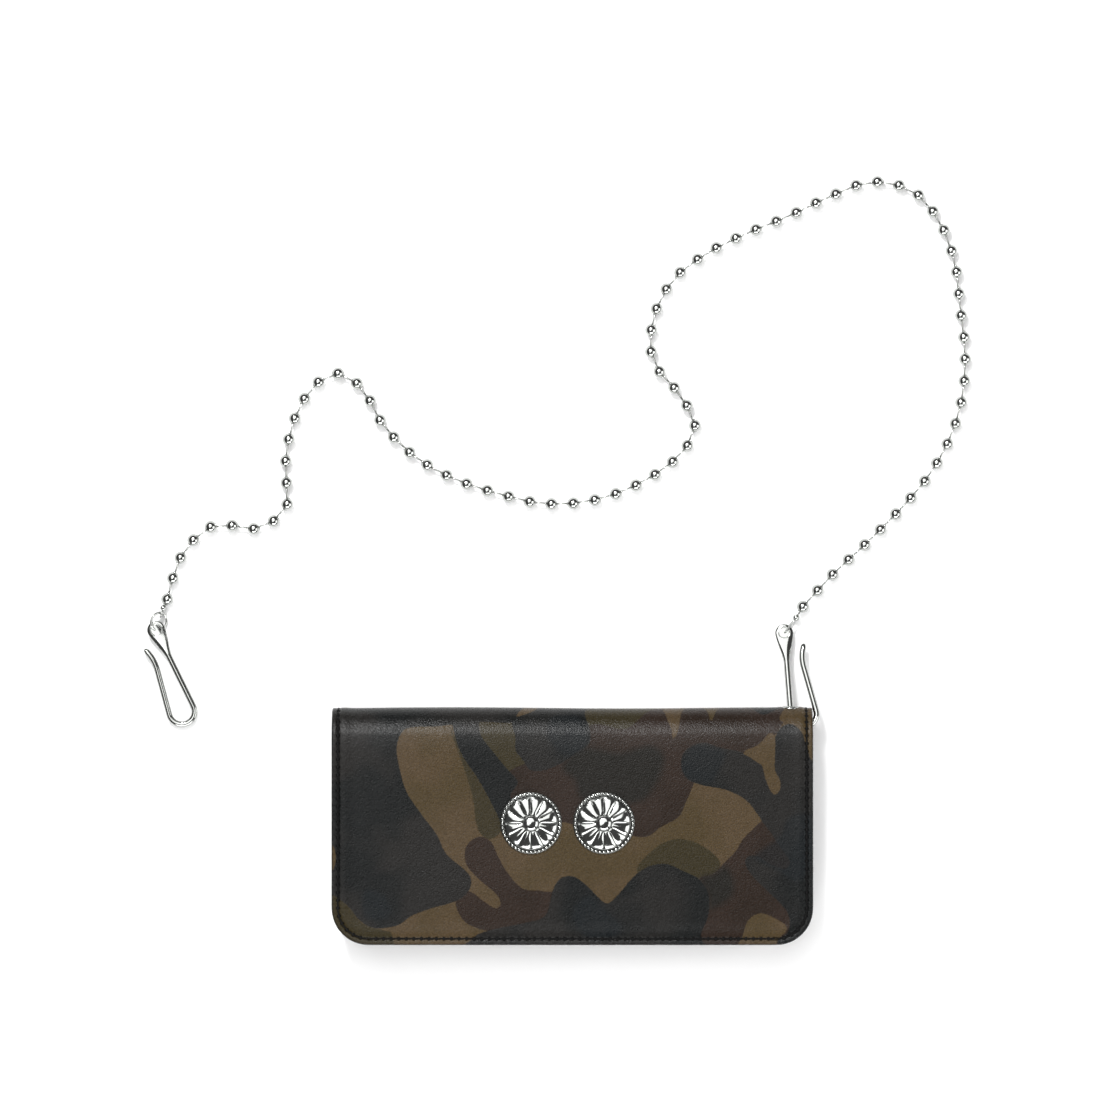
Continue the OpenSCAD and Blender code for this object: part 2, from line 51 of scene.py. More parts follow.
# ---------------------------- camera
camera = bpy.data.objects.new("camera", bpy.data.cameras.new("camera"))
scene.collection.objects.link(camera)
camera.location = (-0.005, 0.108, 3.0)
camera.rotation_euler = (0, 0, 0)
camera.data.sensor_width = 36
camera.data.lens = 236.5
camera.data.clip_start = 0.05
camera.data.clip_end = 50
scene.camera = camera


# ---------------------------- meshes
def piece(name, points, faces):
    """A mesh object from points in millimetres."""
    mesh = bpy.data.meshes.new(name)
    mesh.from_pydata((np.asarray(points, float) * MM).tolist(), [], [tuple(map(int, f)) for f in faces])
    mesh.update()
    mesh.shade_smooth()
    obj = bpy.data.objects.new(name, mesh)
    scene.collection.objects.link(obj)
    return obj


def store(obj, name, values):
    """Keeps a number for each point of the mesh, or a vector for each."""
    values = np.asarray(values, np.float32)
    kind = "FLOAT_VECTOR" if values.ndim == 2 else "FLOAT"
    attribute = obj.data.attributes.new(name, kind, "POINT")
    attribute.data.foreach_set("vector" if values.ndim == 2 else "value", values.ravel())


def joined(parts):
    """Several (points, faces) as one."""
    points, faces, start = [], [], 0
    for p, f in parts:
        points.append(np.asarray(p, float))
        faces.extend([tuple(i + start for i in face) for face in f])
        start += len(p)
    return np.vstack(points), faces


def smooth_curve(points, steps=6, closed=False):
    """Catmull-Rom curve through the points."""
    p = np.asarray(points, float)
    n = len(p)
    out = []
    for i in range(n if closed else n - 1):
        a, b, c, d = (
            (p[(i + k) % n] if closed else p[min(max(i + k, 0), n - 1)]) for k in (-1, 0, 1, 2)
        )
        for k in range(steps):
            u = k / steps
            out.append(0.5 * (2 * b + (c - a) * u + (2 * a - 5 * b + 4 * c - d) * u * u
                              + (3 * b - a - 3 * c + d) * u ** 3))
    if not closed:
        out.append(p[-1])
    return np.array(out)


def around(count):
    """Angles of equal steps once round."""
    return np.arange(count) * 2 * np.pi / count


def ring_faces(rings, sides, closed=False, flipped=False):
    """Four-sided faces between rings of points that follow each other."""
    faces = []
    for i in range(rings if closed else rings - 1):
        a, b = i * sides, ((i + 1) % rings) * sides
        for k in range(sides):
            j = (k + 1) % sides
            faces.append((a + k, b + k, b + j, a + j) if flipped else (a + k, a + j, b + j, b + k))
    return faces


def end_caps(rings, sides):
    last = (rings - 1) * sides
    return [tuple(range(sides - 1, -1, -1)), tuple(last + k for k in range(sides))]


def tube(path, radius, sides=16, closed=False, up=(0, 0, 1)):
    """A round wire along a path, its sections set across it."""
    path = np.asarray(path, float)
    n = len(path)
    if closed:
        way = np.roll(path, -1, 0) - np.roll(path, 1, 0)
    else:
        way = np.gradient(path, axis=0)
    way /= np.linalg.norm(way, axis=1)[:, None]
    side = np.cross(way, np.asarray(up, float))
    side /= np.linalg.norm(side, axis=1)[:, None]
    over = np.cross(side, way)
    turn = around(sides)
    rings = (path[:, None] + side[:, None] * (radius * np.cos(turn))[:, None]
             + over[:, None] * (radius * np.sin(turn))[:, None])
    faces = ring_faces(n, sides, closed)
    if not closed:
        faces += end_caps(n, sides)
    return rings.reshape(-1, 3), faces


def lathe(profile, centre, axis="z", sides=48):
    """A profile of (radius, height) turned about an axis."""
    profile = np.asarray(profile, float)
    turn = around(sides)
    r = profile[:, :1]
    h = profile[:, 1:] + np.zeros(sides)
    a, b = r * np.cos(turn), r * np.sin(turn)
    p = {"z": (a, b, h), "y": (b, h, a), "x": (h, a, b)}[axis]
    points = np.stack(p, -1).reshape(-1, 3) + np.asarray(centre, float)
    return points, ring_faces(len(profile), sides)


def ball(centre, radius, sides=20, rings=12):
    t = np.linspace(-np.pi / 2, np.pi / 2, rings + 1)
    profile = np.stack([np.maximum(np.cos(t), 1e-4) * radius, np.sin(t) * radius], -1)
    return lathe(profile, centre, sides=sides)


# ---------------------------- materials
class Shader:
    """A material's nodes, with short ways to add them. Plain numbers go straight on the sockets."""

    def __init__(self, name, **inputs):
        self.material = bpy.data.materials.new(name)
        self.material.use_nodes = True
        self.tree = self.material.node_tree
        self.base = self.tree.nodes["Principled BSDF"]
        self.set(self.base, inputs)

    def set(self, node, inputs):
        for key, value in inputs.items():
            socket = node.inputs[key]
            if isinstance(value, bpy.types.NodeSocket):
                self.tree.links.new(value, socket)
            else:
                socket.default_value = value

    def add(self, kind, inputs=None, **settings):
        node = self.tree.nodes.new("ShaderNode" + kind)
        for key, value in settings.items():
            setattr(node, key, value)
        self.set(node, inputs or {})
        return node

    def math(self, what, a, b=0.0):
        return self.add("Math", {0: a, 1: b}, operation=what).outputs[0]

    def plus(self, a, b):
        return self.math("ADD", a, b)

    def less(self, a, b):
        return self.math("SUBTRACT", a, b)

    def times(self, a, b):
        return self.math("MULTIPLY", a, b)

    def tinted(self, colour, value):
        """The colour, lighter or darker by a value."""
        grey = self.add("CombineXYZ", {0: value, 1: value, 2: value}).outputs[0]
        return self.add("VectorMath", {0: colour, 1: grey}, operation="MULTIPLY").outputs[0]

    def attribute(self, name):
        return self.add("Attribute", attribute_name=name).outputs["Fac"]

    def flat(self):
        """Millimetres on the leather as it lay flat: it doesn't swim when the leather bends."""
        return self.add("Attribute", attribute_name="flat").outputs["Vector"]

    def place(self, scale=1000.0):
        """The object's own place, in millimetres."""
        coords = self.add("TexCoord").outputs["Object"]
        return self.add("Mapping", {"Vector": coords, "Scale": (scale,) * 3}).outputs[0]

    def noise(self, where, scale, detail=2.0, rough=0.5, distort=0.0):
        return self.add("TexNoise", {"Vector": where, "Scale": scale, "Detail": detail,
                                     "Roughness": rough, "Distortion": distort}).outputs["Fac"]

    def cells(self, where, scale, smooth):
        return self.add("TexVoronoi", {"Vector": where, "Scale": scale, "Smoothness": smooth},
                        feature="SMOOTH_F1").outputs["Distance"]

    def ramp(self, value, low, high, out_low=0.0, out_high=1.0, smooth=True):
        return self.add("MapRange", {"Value": value, "From Min": low, "From Max": high,
                                     "To Min": out_low, "To Max": out_high},
                        interpolation_type="SMOOTHSTEP" if smooth else "LINEAR", clamp=True).outputs[0]

    def mix(self, share, a, b):
        node = self.add("Mix", data_type="RGBA", clamp_factor=True)
        for index, value in ((0, share), (6, a), (7, b)):
            if isinstance(value, bpy.types.NodeSocket):
                self.tree.links.new(value, node.inputs[index])
            else:
                node.inputs[index].default_value = value if index == 0 else (*value, 1.0)
        return node.outputs[2]

    def bump(self, height, strength):
        """Height in millimetres."""
        return self.add("Bump", {"Height": height, "Strength": strength, "Distance": MM}).outputs[0]

    def end(self, **inputs):
        self.set(self.base, {key.replace("_", " "): value for key, value in inputs.items()})
        return self.material


LIGHT_VEIL = 0.0175
LIGHT_SHARE = 0.68
DARKEST = 0.003


def ink(r, g, b):
    """A colour as it looks under the studio light, 0 to 255, made into the leather's own: what the shine
    of the light adds comes off first."""
    linear = [((c / 255 + 0.055) / 1.055) ** 2.4 for c in (r, g, b)]
    return tuple(max(DARKEST, LIGHT_SHARE * (c - LIGHT_VEIL)) for c in linear)


def grain(sh, where, coarse=1.0):
    """Leather grain: fine pebbles, pores and soft creases, in millimetres."""
    pebbles = sh.times(sh.cells(where, 1.7 / coarse, 0.5), 0.10)
    fine = sh.times(sh.noise(where, 2.6 / coarse, 4.0, 0.62, 0.4), 0.10)
    creases = sh.times(sh.noise(where, 0.16, 3.0, 0.55, 0.8), 0.10)
    return sh.plus(sh.less(fine, pebbles), creases)


def printed_leather():
    """Camouflage print from the distances to its outlines, with wear, and painted shade in the seam's groove
    and its holes.
    """
    sh = Shader("printed_leather")
    at = sh.flat()
    rag = sh.times(sh.less(sh.noise(at, 0.9, 3.0, 0.6), 0.5), 0.7)

    def shape(name, soft=0.22):
        return sh.ramp(sh.plus(sh.attribute(name), rag), -soft, soft, 1.0, 0.0)

    drift = sh.ramp(sh.noise(at, 0.035, 2.0), 0.40, 0.62)
    broad = sh.ramp(sh.noise(at, 0.028, 2.0, 0.5, 0.3), 0.42, 0.6)
    khaki = sh.mix(drift, ink(87, 74, 58), ink(80, 69, 52))
    burgundy = sh.mix(drift, ink(58, 50, 46), ink(54, 47, 43))
    charcoal = sh.mix(broad, ink(50, 49, 48), ink(42, 43, 43))
    colour = sh.mix(shape("olive", 0.35), khaki, ink(63, 58, 46))
    colour = sh.mix(shape("burgundy"), colour, burgundy)
    colour = sh.mix(sh.times(shape("shade", 2.2), 0.95), colour, ink(47, 46, 44))
    colour = sh.mix(shape("charcoal"), colour, charcoal)
    colour = sh.mix(sh.times(shape("blue", 1.5), 0.6), colour, ink(43, 46, 48))
    colour = sh.mix(shape("drip"), colour, khaki)

    # wear: a mottled, speckled surface, and a dark burnished rim
    mottle = sh.noise(at, 0.42, 5.0, 0.65)
    speck = sh.noise(at, 1.5, 4.0, 0.75)
    specks = sh.ramp(speck, 0.3, 0.72, -0.44, 0.48, False)
    value = sh.plus(sh.ramp(mottle, 0.3, 0.7, 0.90, 1.08, False), specks)
    inset = sh.attribute("inset")
    rim = sh.ramp(inset, 0.15, 0.9)
    value = sh.times(value, sh.ramp(rim, 0.0, 1.0, 0.42, 1.0, False))

    # seam: a pressed groove along it, and a hole where each stitch meets the next; both are bumped down and
    # darkened with painted shade
    across = sh.math("ABSOLUTE", sh.less(inset, STITCH_IN))
    groove = sh.ramp(across, 0.25, 0.75, 1.0, 0.0)
    from_hole = sh.math("ABSOLUTE", sh.less(sh.math("FRACT", sh.plus(sh.attribute("run"), 0.5)), 0.5))
    along = sh.times(from_hole, STITCH_PITCH)
    away = sh.plus(sh.math("POWER", along, 2.0), sh.math("POWER", sh.times(across, 0.85), 2.0))
    hole = sh.ramp(sh.math("SQRT", away), 0.48, 0.85, 1.0, 0.0)
    # painted shade: the pressed groove's colour is darkened
    value = sh.times(value, sh.ramp(groove, 0.0, 1.0, 1.0, 0.78, False))
    # painted shade: each stitch hole's colour is darkened almost to black
    value = sh.times(value, sh.ramp(hole, 0.0, 1.0, 1.0, 0.03, False))
    height = sh.less(grain(sh, at), sh.times(groove, 0.22))
    height = sh.less(height, sh.times(hole, 0.6))
    rough = sh.plus(sh.ramp(mottle, 0.25, 0.75, 0.24, 0.31, False), sh.times(hole, 0.4))
    return sh.end(Base_Color=sh.tinted(colour, value), Roughness=rough, Specular_IOR_Level=0.18,
                  Normal=sh.bump(height, 0.9))


def plain_leather(name, colour, suede=False):
    """Dyed leather for the inside, smooth or brushed, with a creased line below each pocket's mouth that is
    darkened with painted shade.
    """
    sh = Shader(name)
    at = sh.flat()
    mottle = sh.noise(at, 0.12 if suede else 0.16, 5.0, 0.68)
    speck = sh.noise(at, 2.2, 3.0, 0.7)
    specks = sh.ramp(speck, 0.3, 0.72, -0.25, 0.25, False)
    value = sh.plus(sh.ramp(mottle, 0.3, 0.7, 0.70, 1.25, False), specks)
    mouth = sh.attribute("mouth")
    crease = sh.ramp(sh.math("ABSOLUTE", sh.less(mouth, CREASE_IN)), 0.15, 0.45, 1.0, 0.0)
    # painted shade: the creased line's colour is darkened
    value = sh.times(value, sh.ramp(crease, 0.0, 1.0, 1.0, 0.45, False))
    value = sh.times(value, sh.ramp(mouth, 0.1, 0.6, 0.5, 1.0))
    height = sh.times(sh.noise(at, 4.0, 4.0, 0.75), 0.16) if suede else grain(sh, at, 0.8)
    height = sh.less(height, sh.times(crease, 0.2))
    low, high = (0.80, 0.95) if suede else (0.34, 0.46)
    rough = sh.ramp(mottle, 0.25, 0.75, low, high, False)
    return sh.end(Base_Color=sh.tinted(colour, value), Roughness=rough,
                  Specular_IOR_Level=0.15 if suede else 0.24, Normal=sh.bump(height, 0.8),
                  Sheen_Weight=0.12 if suede else 0.0)


def cloth(name, colour, pitch):
    """Close-woven tape or waxed thread: fine ribs at a slant."""
    sh = Shader(name)
    at = sh.place()
    ribs = {"Vector": at, "Scale": 0.35 / pitch, "Distortion": 0.6, "Detail": 2.0, "Detail Scale": 2.0}
    rib = sh.add("TexWave", ribs, wave_type="BANDS", bands_direction="DIAGONAL").outputs["Fac"]
    fuzz = sh.noise(at, 3.0, 3.0, 0.7)
    value = sh.times(sh.ramp(rib, 0.1, 0.9, 0.55, 1.25, False), sh.ramp(fuzz, 0.3, 0.7, 0.8, 1.2, False))
    height = sh.plus(sh.times(rib, 0.10), sh.times(fuzz, 0.04))
    return sh.end(Base_Color=sh.tinted(colour, value), Roughness=sh.ramp(fuzz, 0.3, 0.7, 0.5, 0.75, False),
                  Specular_IOR_Level=0.12, Normal=sh.bump(height, 0.9), Sheen_Weight=0.02)


def metal(name, colour, rough, worn=0.0, aged=0.0):
    """Polished or satin metal: faint rubbing marks, a smeared roughness, dark tarnish in hollows."""
    sh = Shader(name, Metallic=1.0)
    at = sh.place()
    smear = sh.noise(at, 0.35, 4.0, 0.6, 1.0)
    fine = sh.noise(at, 5.0, 3.0, 0.7)
    hollow = sh.attribute("hollow")
    value = sh.times(sh.ramp(smear, 0.3, 0.7, 0.92 - 0.3 * aged, 1.03, False),
                     sh.ramp(hollow, 0.0, 1.0, 1.0, 0.16))
    roughness = sh.plus(sh.ramp(smear, 0.3, 0.72, rough, rough * 1.7 + 0.02, False), sh.times(hollow, 0.3))
    height = sh.plus(sh.times(smear, 0.02 + worn), sh.times(fine, 0.001 + 0.01 * worn))
    return sh.end(Base_Color=sh.tinted(colour, value), Roughness=roughness, Normal=sh.bump(height, 0.5))


# ---------------------------- the wallet's own sizes, in millimetres
W = 195.0           # width, along the fold
D = 95.8            # depth, closed
R = 11.0            # radius of the fold
COVER_T = 2.2
LINING_T = 0.8
CORNER_R = 15.0
STITCH_IN = 2.6     # the seam's distance from the edge
STITCH_PITCH = 3.1
SIDE_STITCHES = 22
END_STITCHES = 54
CORNER_STITCHES = 6
FOLD_STITCHES = 11
CREASE_IN = 1.9     # the creased line below a pocket's mouth
NO_MOUTH = 9.0      # as far from a mouth as the leather shows
FOLD_Y = D / 2 - R
OPEN_Y = -D / 2
V0 = OPEN_Y         # the flat leather starts at the front cover's free edge, and ends at the back cover's
V1 = FOLD_Y + math.pi * R + (FOLD_Y - OPEN_Y)
V_MID = (V0 + V1) / 2
HINGE_V = (FOLD_Y - 1.6, FOLD_Y + 1.4)
FOLD_MIDDLE = 17.28
FOLD_LENGTH = 34.56
EYELET = (88.7, 11.0)

MATERIALS = {
    "printed_leather": printed_leather(),
    "lining_leather": plain_leather("lining_leather", ink(41, 38, 36), suede=True),
    "pocket_leather": plain_leather("pocket_leather", ink(56, 48, 44)),
    "thread": cloth("thread", ink(22, 22, 22), 0.35),
    "zip_tape": cloth("zip_tape", ink(34, 33, 33), 0.3),
    "bright_metal": metal("bright_metal", (0.42, 0.43, 0.415), 0.07),
    "zip_metal": metal("zip_metal", (0.56, 0.43, 0.22), 0.24, worn=0.02, aged=0.6),
}


def dress(obj, slot, body=None, stands_for=()):
    """Gives a piece its slot's material and its body, and hides the CAD nodes that it stands for."""
    obj.data.materials.clear()
    obj.data.materials.append(MATERIALS[slot])
    if body:
        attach(obj, body)
    if stands_for:
        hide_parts(*stands_for)
    return obj


# ---------------------------- chain
# A free cord on the same route as the CAD chain.
BALL_D = 5.0
PIN_D = 0.8
BALLS = 78
CHAIN_Z = BALL_D / 2
ROUTE = [
    (94, 89), (106, 102), (120, 115), (133, 128), (145, 142),
    (154, 158), (159, 175), (160, 193), (158, 211), (156, 228),
    (150, 245), (139, 258), (122, 262), (105, 256), (88, 248),
    (71, 241), (55, 233), (41, 222), (33, 206), (33, 189),
    (44, 175), (50, 162), (42, 149), (25, 138), (7, 132),
    (-12, 131), (-30, 135), (-48, 141), (-64, 150), (-77, 163),
    (-85, 177), (-95, 184), (-106, 178), (-114, 163), (-117, 145),
    (-116, 131), (-127, 121), (-146, 122), (-159, 110), (-165, 92),
]
route = smooth_curve(ROUTE, 12)
run_length = np.concatenate([[0], np.cumsum(np.linalg.norm(np.diff(route, axis=0), axis=1))])
spots = np.linspace(0, run_length[-1], BALLS)
centres = np.stack([np.interp(spots, run_length, route[:, 0]), np.interp(spots, run_length, route[:, 1]),
                    np.full(BALLS, CHAIN_Z)], -1)


def beside(p, heading, distance, z):
    """A point at a distance from p, on a heading in degrees."""
    a = math.radians(heading)
    return np.array([p[0] + distance * math.cos(a), p[1] + distance * math.sin(a), z])


HOOK_HEADING = math.radians(4)
HOOK_PITCH = math.radians(14)
HOOK_REACH = 33.5       # from the eyelet to the wallet hook's eye
NEAR_HEADING = 52       # from the wallet hook's eye to the chain, in degrees
NEAR_BALL_AT = 7.9
FAR_HEADING = 72        # from the belt hook's eye to the chain
FAR_BALL_AT = 9.4
eyelet_y = (47.9 + (47.9 - COVER_T - LINING_T - 0.3) - 0.8) / 2
hook_dir = np.array([math.sin(HOOK_HEADING), -math.cos(HOOK_HEADING) * math.cos(HOOK_PITCH),
                     math.cos(HOOK_HEADING) * math.sin(HOOK_PITCH)])
wallet_eye = np.array([EYELET[0], eyelet_y, EYELET[1]]) - HOOK_REACH * hook_dir
belt_eye = np.array([-169.5, 79.5, 2.8])
near_ball = beside(wallet_eye, NEAR_HEADING, NEAR_BALL_AT, CHAIN_Z)
far_ball = beside(belt_eye, FAR_HEADING, FAR_BALL_AT, CHAIN_Z)


def chain_ball(centre, way):
    """A rolled steel ball, with a small drawn collar at each hole that a pin goes through."""
    t = np.radians([-81, -76, -70, -60, -48, -36, -24, -12, 0, 12, 24, 36, 48, 60, 70, 76, 81])
    r, h = np.cos(t) * BALL_D / 2, np.sin(t) * BALL_D / 2
    lip = [(0.45, -2.35), (0.62, -2.62), (0.74, -2.52)]
    profile = lip + list(zip(r[1:-1], h[1:-1])) + [(a, -b) for a, b in reversed(lip)]
    p, f = lathe(profile, (0, 0, 0), axis="x", sides=22)
    a = math.atan2(way[1], way[0])
    turn = np.array([[math.cos(a), -math.sin(a), 0], [math.sin(a), math.cos(a), 0], [0, 0, 1]])
    return p @ turn.T + centre, f


ways = np.gradient(centres, axis=0)
parts = [chain_ball(c, w) for c, w in zip(centres, ways)]
links = [(near_ball, centres[0])] + list(zip(centres[:-1], centres[1:])) + [(centres[-1], far_ball)]
for a, b in links:
    parts.append(tube(np.linspace(a, b, 3), PIN_D / 2, sides=8))
chain = piece("ball_chain", *joined(parts))
dress(chain, "bright_metal", "chain", ("chain_balls", "chain_pins"))


# ---------------------------- hooks
WIRE_R = 1.25
LEAN = math.radians(11)     # of the shank, from the leg
BEND_R = 5.25
SHANK = 34.4
EYE_R = 3.7
EYE_T = 1.4
EYE_HOLE_R = 2.1
NECK = 11.5
LEG = 19.0
TIP_R = 16.6
TIP_TURN = 26
TIP_END = 2.6


def hook_stations():
    """Along the hook, from the eye's far side to its tip: centre, way across, half width, half thickness."""
    def on_shank(s):
        return s * math.sin(LEAN), -s * math.cos(LEAN)

    across = (math.cos(LEAN), math.sin(LEAN))
    neck = math.asin((EYE_R - WIRE_R) / NECK)
    neck_start = EYE_R * math.sin(neck)
    neck_length = NECK * math.cos(neck) ** 2
    out = []
    for a in np.radians(np.arange(-88, math.degrees(neck), 5.0)):
        thick = EYE_T / 2 * min(1, (math.cos(a) * 2) ** 0.7)
        out.append((on_shank(EYE_R * math.sin(a)), across, EYE_R * math.cos(a), thick))
    for f in np.linspace(0, 1, 13):
        g = f * f * (3 - 2 * f)
        k = 0.55 * f + 0.45 * g
        out.append((on_shank(neck_start + f * neck_length), across,
                    EYE_R * math.cos(neck) * (1 - k) + WIRE_R * k, EYE_T / 2 * (1 - g) + WIRE_R * g))
    for s in np.linspace(neck_start + neck_length, SHANK, 8)[1:-1]:
        out.append((on_shank(s), across, WIRE_R, WIRE_R))
    cx = SHANK * math.sin(LEAN) - BEND_R * math.cos(LEAN)
    cy = -SHANK * math.cos(LEAN) - BEND_R * math.sin(LEAN)
    for a in np.radians(np.linspace(math.degrees(LEAN), -180, 36)):
        c, s = math.cos(a), math.sin(a)
        out.append(((cx + BEND_R * c, cy + BEND_R * s), (c, s), WIRE_R, WIRE_R))
    leg_x, leg_y = cx - BEND_R, cy + LEG
    for y in np.linspace(cy, leg_y, 8)[1:-1]:
        out.append(((leg_x, y), (-1, 0), WIRE_R, WIRE_R))
    for a in np.radians(np.linspace(0, TIP_TURN, 9)):
        c, s = math.cos(a), math.sin(a)
        out.append(((leg_x - TIP_R + TIP_R * c, leg_y + TIP_R * s), (-c, -s), WIRE_R, WIRE_R))
    end_x, end_y = out[-1][0]
    c, s = math.cos(math.radians(TIP_TURN)), math.sin(math.radians(TIP_TURN))
    for f in np.linspace(0.12, 1, 9):
        r = WIRE_R * math.sqrt(1.0004 - f ** 2.4)
        out.append(((end_x - f * TIP_END * s, end_y + f * TIP_END * c), (-c, -s), r, r))
    return out


def rotate(p, axis, degrees):
    a = math.radians(degrees)
    c, s = math.cos(a), math.sin(a)
    m = {"x": [[1, 0, 0], [0, c, -s], [0, s, c]], "z": [[c, -s, 0], [s, c, 0], [0, 0, 1]]}[axis]
    return np.asarray(p) @ np.array(m).T


LIP_R = EYE_HOLE_R + 0.22
LIP_WIRE_R = 0.3
LIP_Z = 0.62


def j_hook(name, body, node, place, mirrored=False):
    """One piece of polished wire, with a flattened eye that is drilled and has a rolled lip."""
    sides = 28
    turn = around(sides)
    rings = []
    for (x, y), (ax, ay), w, t in hook_stations():
        c = w * np.cos(turn)
        rings.append(np.stack([x + c * ax, y + c * ay, t * np.sin(turn)], -1))
    wire = piece(name, np.vstack(rings), ring_faces(len(rings), sides) + end_caps(len(rings), sides))
    drill = piece("drill", *tube([(0, 0, -3), (0, 0, 3)], EYE_HOLE_R, sides=40, up=(1, 0, 0)))
    cut = wire.modifiers.new("cut", "BOOLEAN")
    cut.operation = "DIFFERENCE"
    cut.solver = "EXACT"
    cut.object = drill
    mesh = bpy.data.meshes.new_from_object(wire.evaluated_get(bpy.context.evaluated_depsgraph_get()))
    bpy.data.objects.remove(drill)
    bpy.data.objects.remove(wire)
    drilled = (np.array([v.co[:] for v in mesh.vertices]) / MM, [tuple(f.vertices) for f in mesh.polygons])
    ring = around(40)
    lips = [tube(np.stack([LIP_R * np.cos(ring), LIP_R * np.sin(ring), np.full(40, z)], -1),
                 LIP_WIRE_R, sides=10, closed=True) for z in (-LIP_Z, LIP_Z)]
    points, faces = joined([drilled] + lips)
    obj = piece(name, place(points), faces)
    if mirrored:
        obj.data.flip_normals()
    obj.data.set_sharp_from_angle(angle=math.radians(38))
    return dress(obj, "bright_metal", body, (node,))


def wallet_hook_place(p):
    return rotate(rotate(np.asarray(p) * (-1, 1, 1), "z", 15), "x", -14) + wallet_eye


def belt_hook_place(p):
    return rotate(rotate(p, "z", 15), "x", 2.1) + belt_eye


wallet_hook = j_hook("wallet_j_hook", "wallet_hook_body", "wallet_hook", wallet_hook_place, mirrored=True)
belt_hook = j_hook("belt_j_hook", "belt_hook_body", "belt_hook", belt_hook_place)

# links and ring between the chain and the hooks
LINK_R = 1.75
LINK_STRAIGHT = 4.0
LINK_WIRE_R = 0.45
NEAR_BALL_R = 1.4
LOOP_R = 1.5
LOOP_AT = 7.05
LOOP_WIRE_R = 0.4
FAR_BALL_R = 1.3
RING_R = 3.7
RING_AT = 3.55
RING_LEAN = 37
RING_WIRE_R = 0.5


def chain_end(name, node, path, wire_r, heading, end_ball, end_ball_r):
    """A loop of wire that stands on edge in line with the chain, and the small ball that it comes out of."""
    a = math.radians(heading)
    loop = tube(path, wire_r, sides=12, closed=True, up=(-math.sin(a), math.cos(a), 0))
    return dress(piece(name, *joined([loop, ball(end_ball, end_ball_r)])), "bright_metal", "chain", (node,))


a = math.radians(NEAR_HEADING)
oval = []
for t in around(48):
    along = LINK_R + LINK_R * math.cos(t) + (LINK_STRAIGHT if math.cos(t) >= 0 else 0)
    oval.append((wallet_eye[0] + along * math.cos(a), wallet_eye[1] + along * math.sin(a),
                 CHAIN_Z + LINK_R * math.sin(t)))
near_link = chain_end("near_link", "near_end_link", oval, LINK_WIRE_R, NEAR_HEADING, near_ball, NEAR_BALL_R)

a = math.radians(FAR_HEADING)
turn = around(36)
loop_centre = beside(belt_eye, FAR_HEADING, LOOP_AT, CHAIN_Z)
loop = loop_centre + LOOP_R * np.stack([np.cos(turn) * math.cos(a), np.cos(turn) * math.sin(a),
                                        np.sin(turn)], -1)
far_link = chain_end("far_link", "far_end_link", loop, LOOP_WIRE_R, FAR_HEADING, far_ball, FAR_BALL_R)


def lean_ring(p):
    return rotate(rotate(p, "x", RING_LEAN), "z", FAR_HEADING)


turn = around(60)
ring = lean_ring(np.stack([RING_AT + RING_R * np.cos(turn), RING_R * np.sin(turn), 0 * turn], -1)) + belt_eye
ring_up = lean_ring([[0.0, 0, 1]])[0]
jump_ring = piece("jump_ring_wire", *tube(ring, RING_WIRE_R, sides=14, closed=True, up=ring_up))
dress(jump_ring, "bright_metal", "chain", ("jump_ring",))


# ---------------------------- sheets of leather
def sheet_rows(b0, b1, low, high, step, stops):
    """Places of a sheet's rows, finer round its corners, with a row at every stop."""
    arc_low = np.radians(np.linspace(0, 90, 13 if low > 3 else 5))
    arc_high = np.radians(np.linspace(0, 90, 13 if high > 3 else 5))
    rows = list(b0 + low * (1 - np.cos(arc_low)))
    marks = [b0 + low] + sorted(s for s in stops if b0 + low < s < b1 - high) + [b1 - high]
    for m0, m1 in zip(marks[:-1], marks[1:]):
        local = min(step, max((m1 - m0) / 12, 0.3)) if m1 - m0 < 6 else step
        count = max(1, math.ceil((m1 - m0) / local))
        rows += list(np.linspace(m0, m1, count + 1)[1:])
    rows += list(b1 - high * (1 - np.cos(arc_high[::-1])))[1:]
    return np.array(rows)


def sheet_side(vs, x_end, sign, b0, b1, r0, r1):
    """One side of a sheet with its two corners: x on each row, and the direction outwards."""
    x = np.full(len(vs), x_end)
    normal = np.tile([float(sign), 0.0], (len(vs), 1))
    for r, centre_v, near in ((r0, b0 + r0, vs < b0 + r0), (r1, b1 - r1, vs > b1 - r1)):
        d = np.clip((vs - centre_v) / r, -1, 1)
        c = np.sqrt(1 - d * d)
        x = np.where(near, x_end - sign * r * (1 - c), x)
        normal[near] = np.stack([sign * c, d], -1)[near]
    return x, normal


FINE_IN = 9.0       # how far in from a fine edge its closer columns go


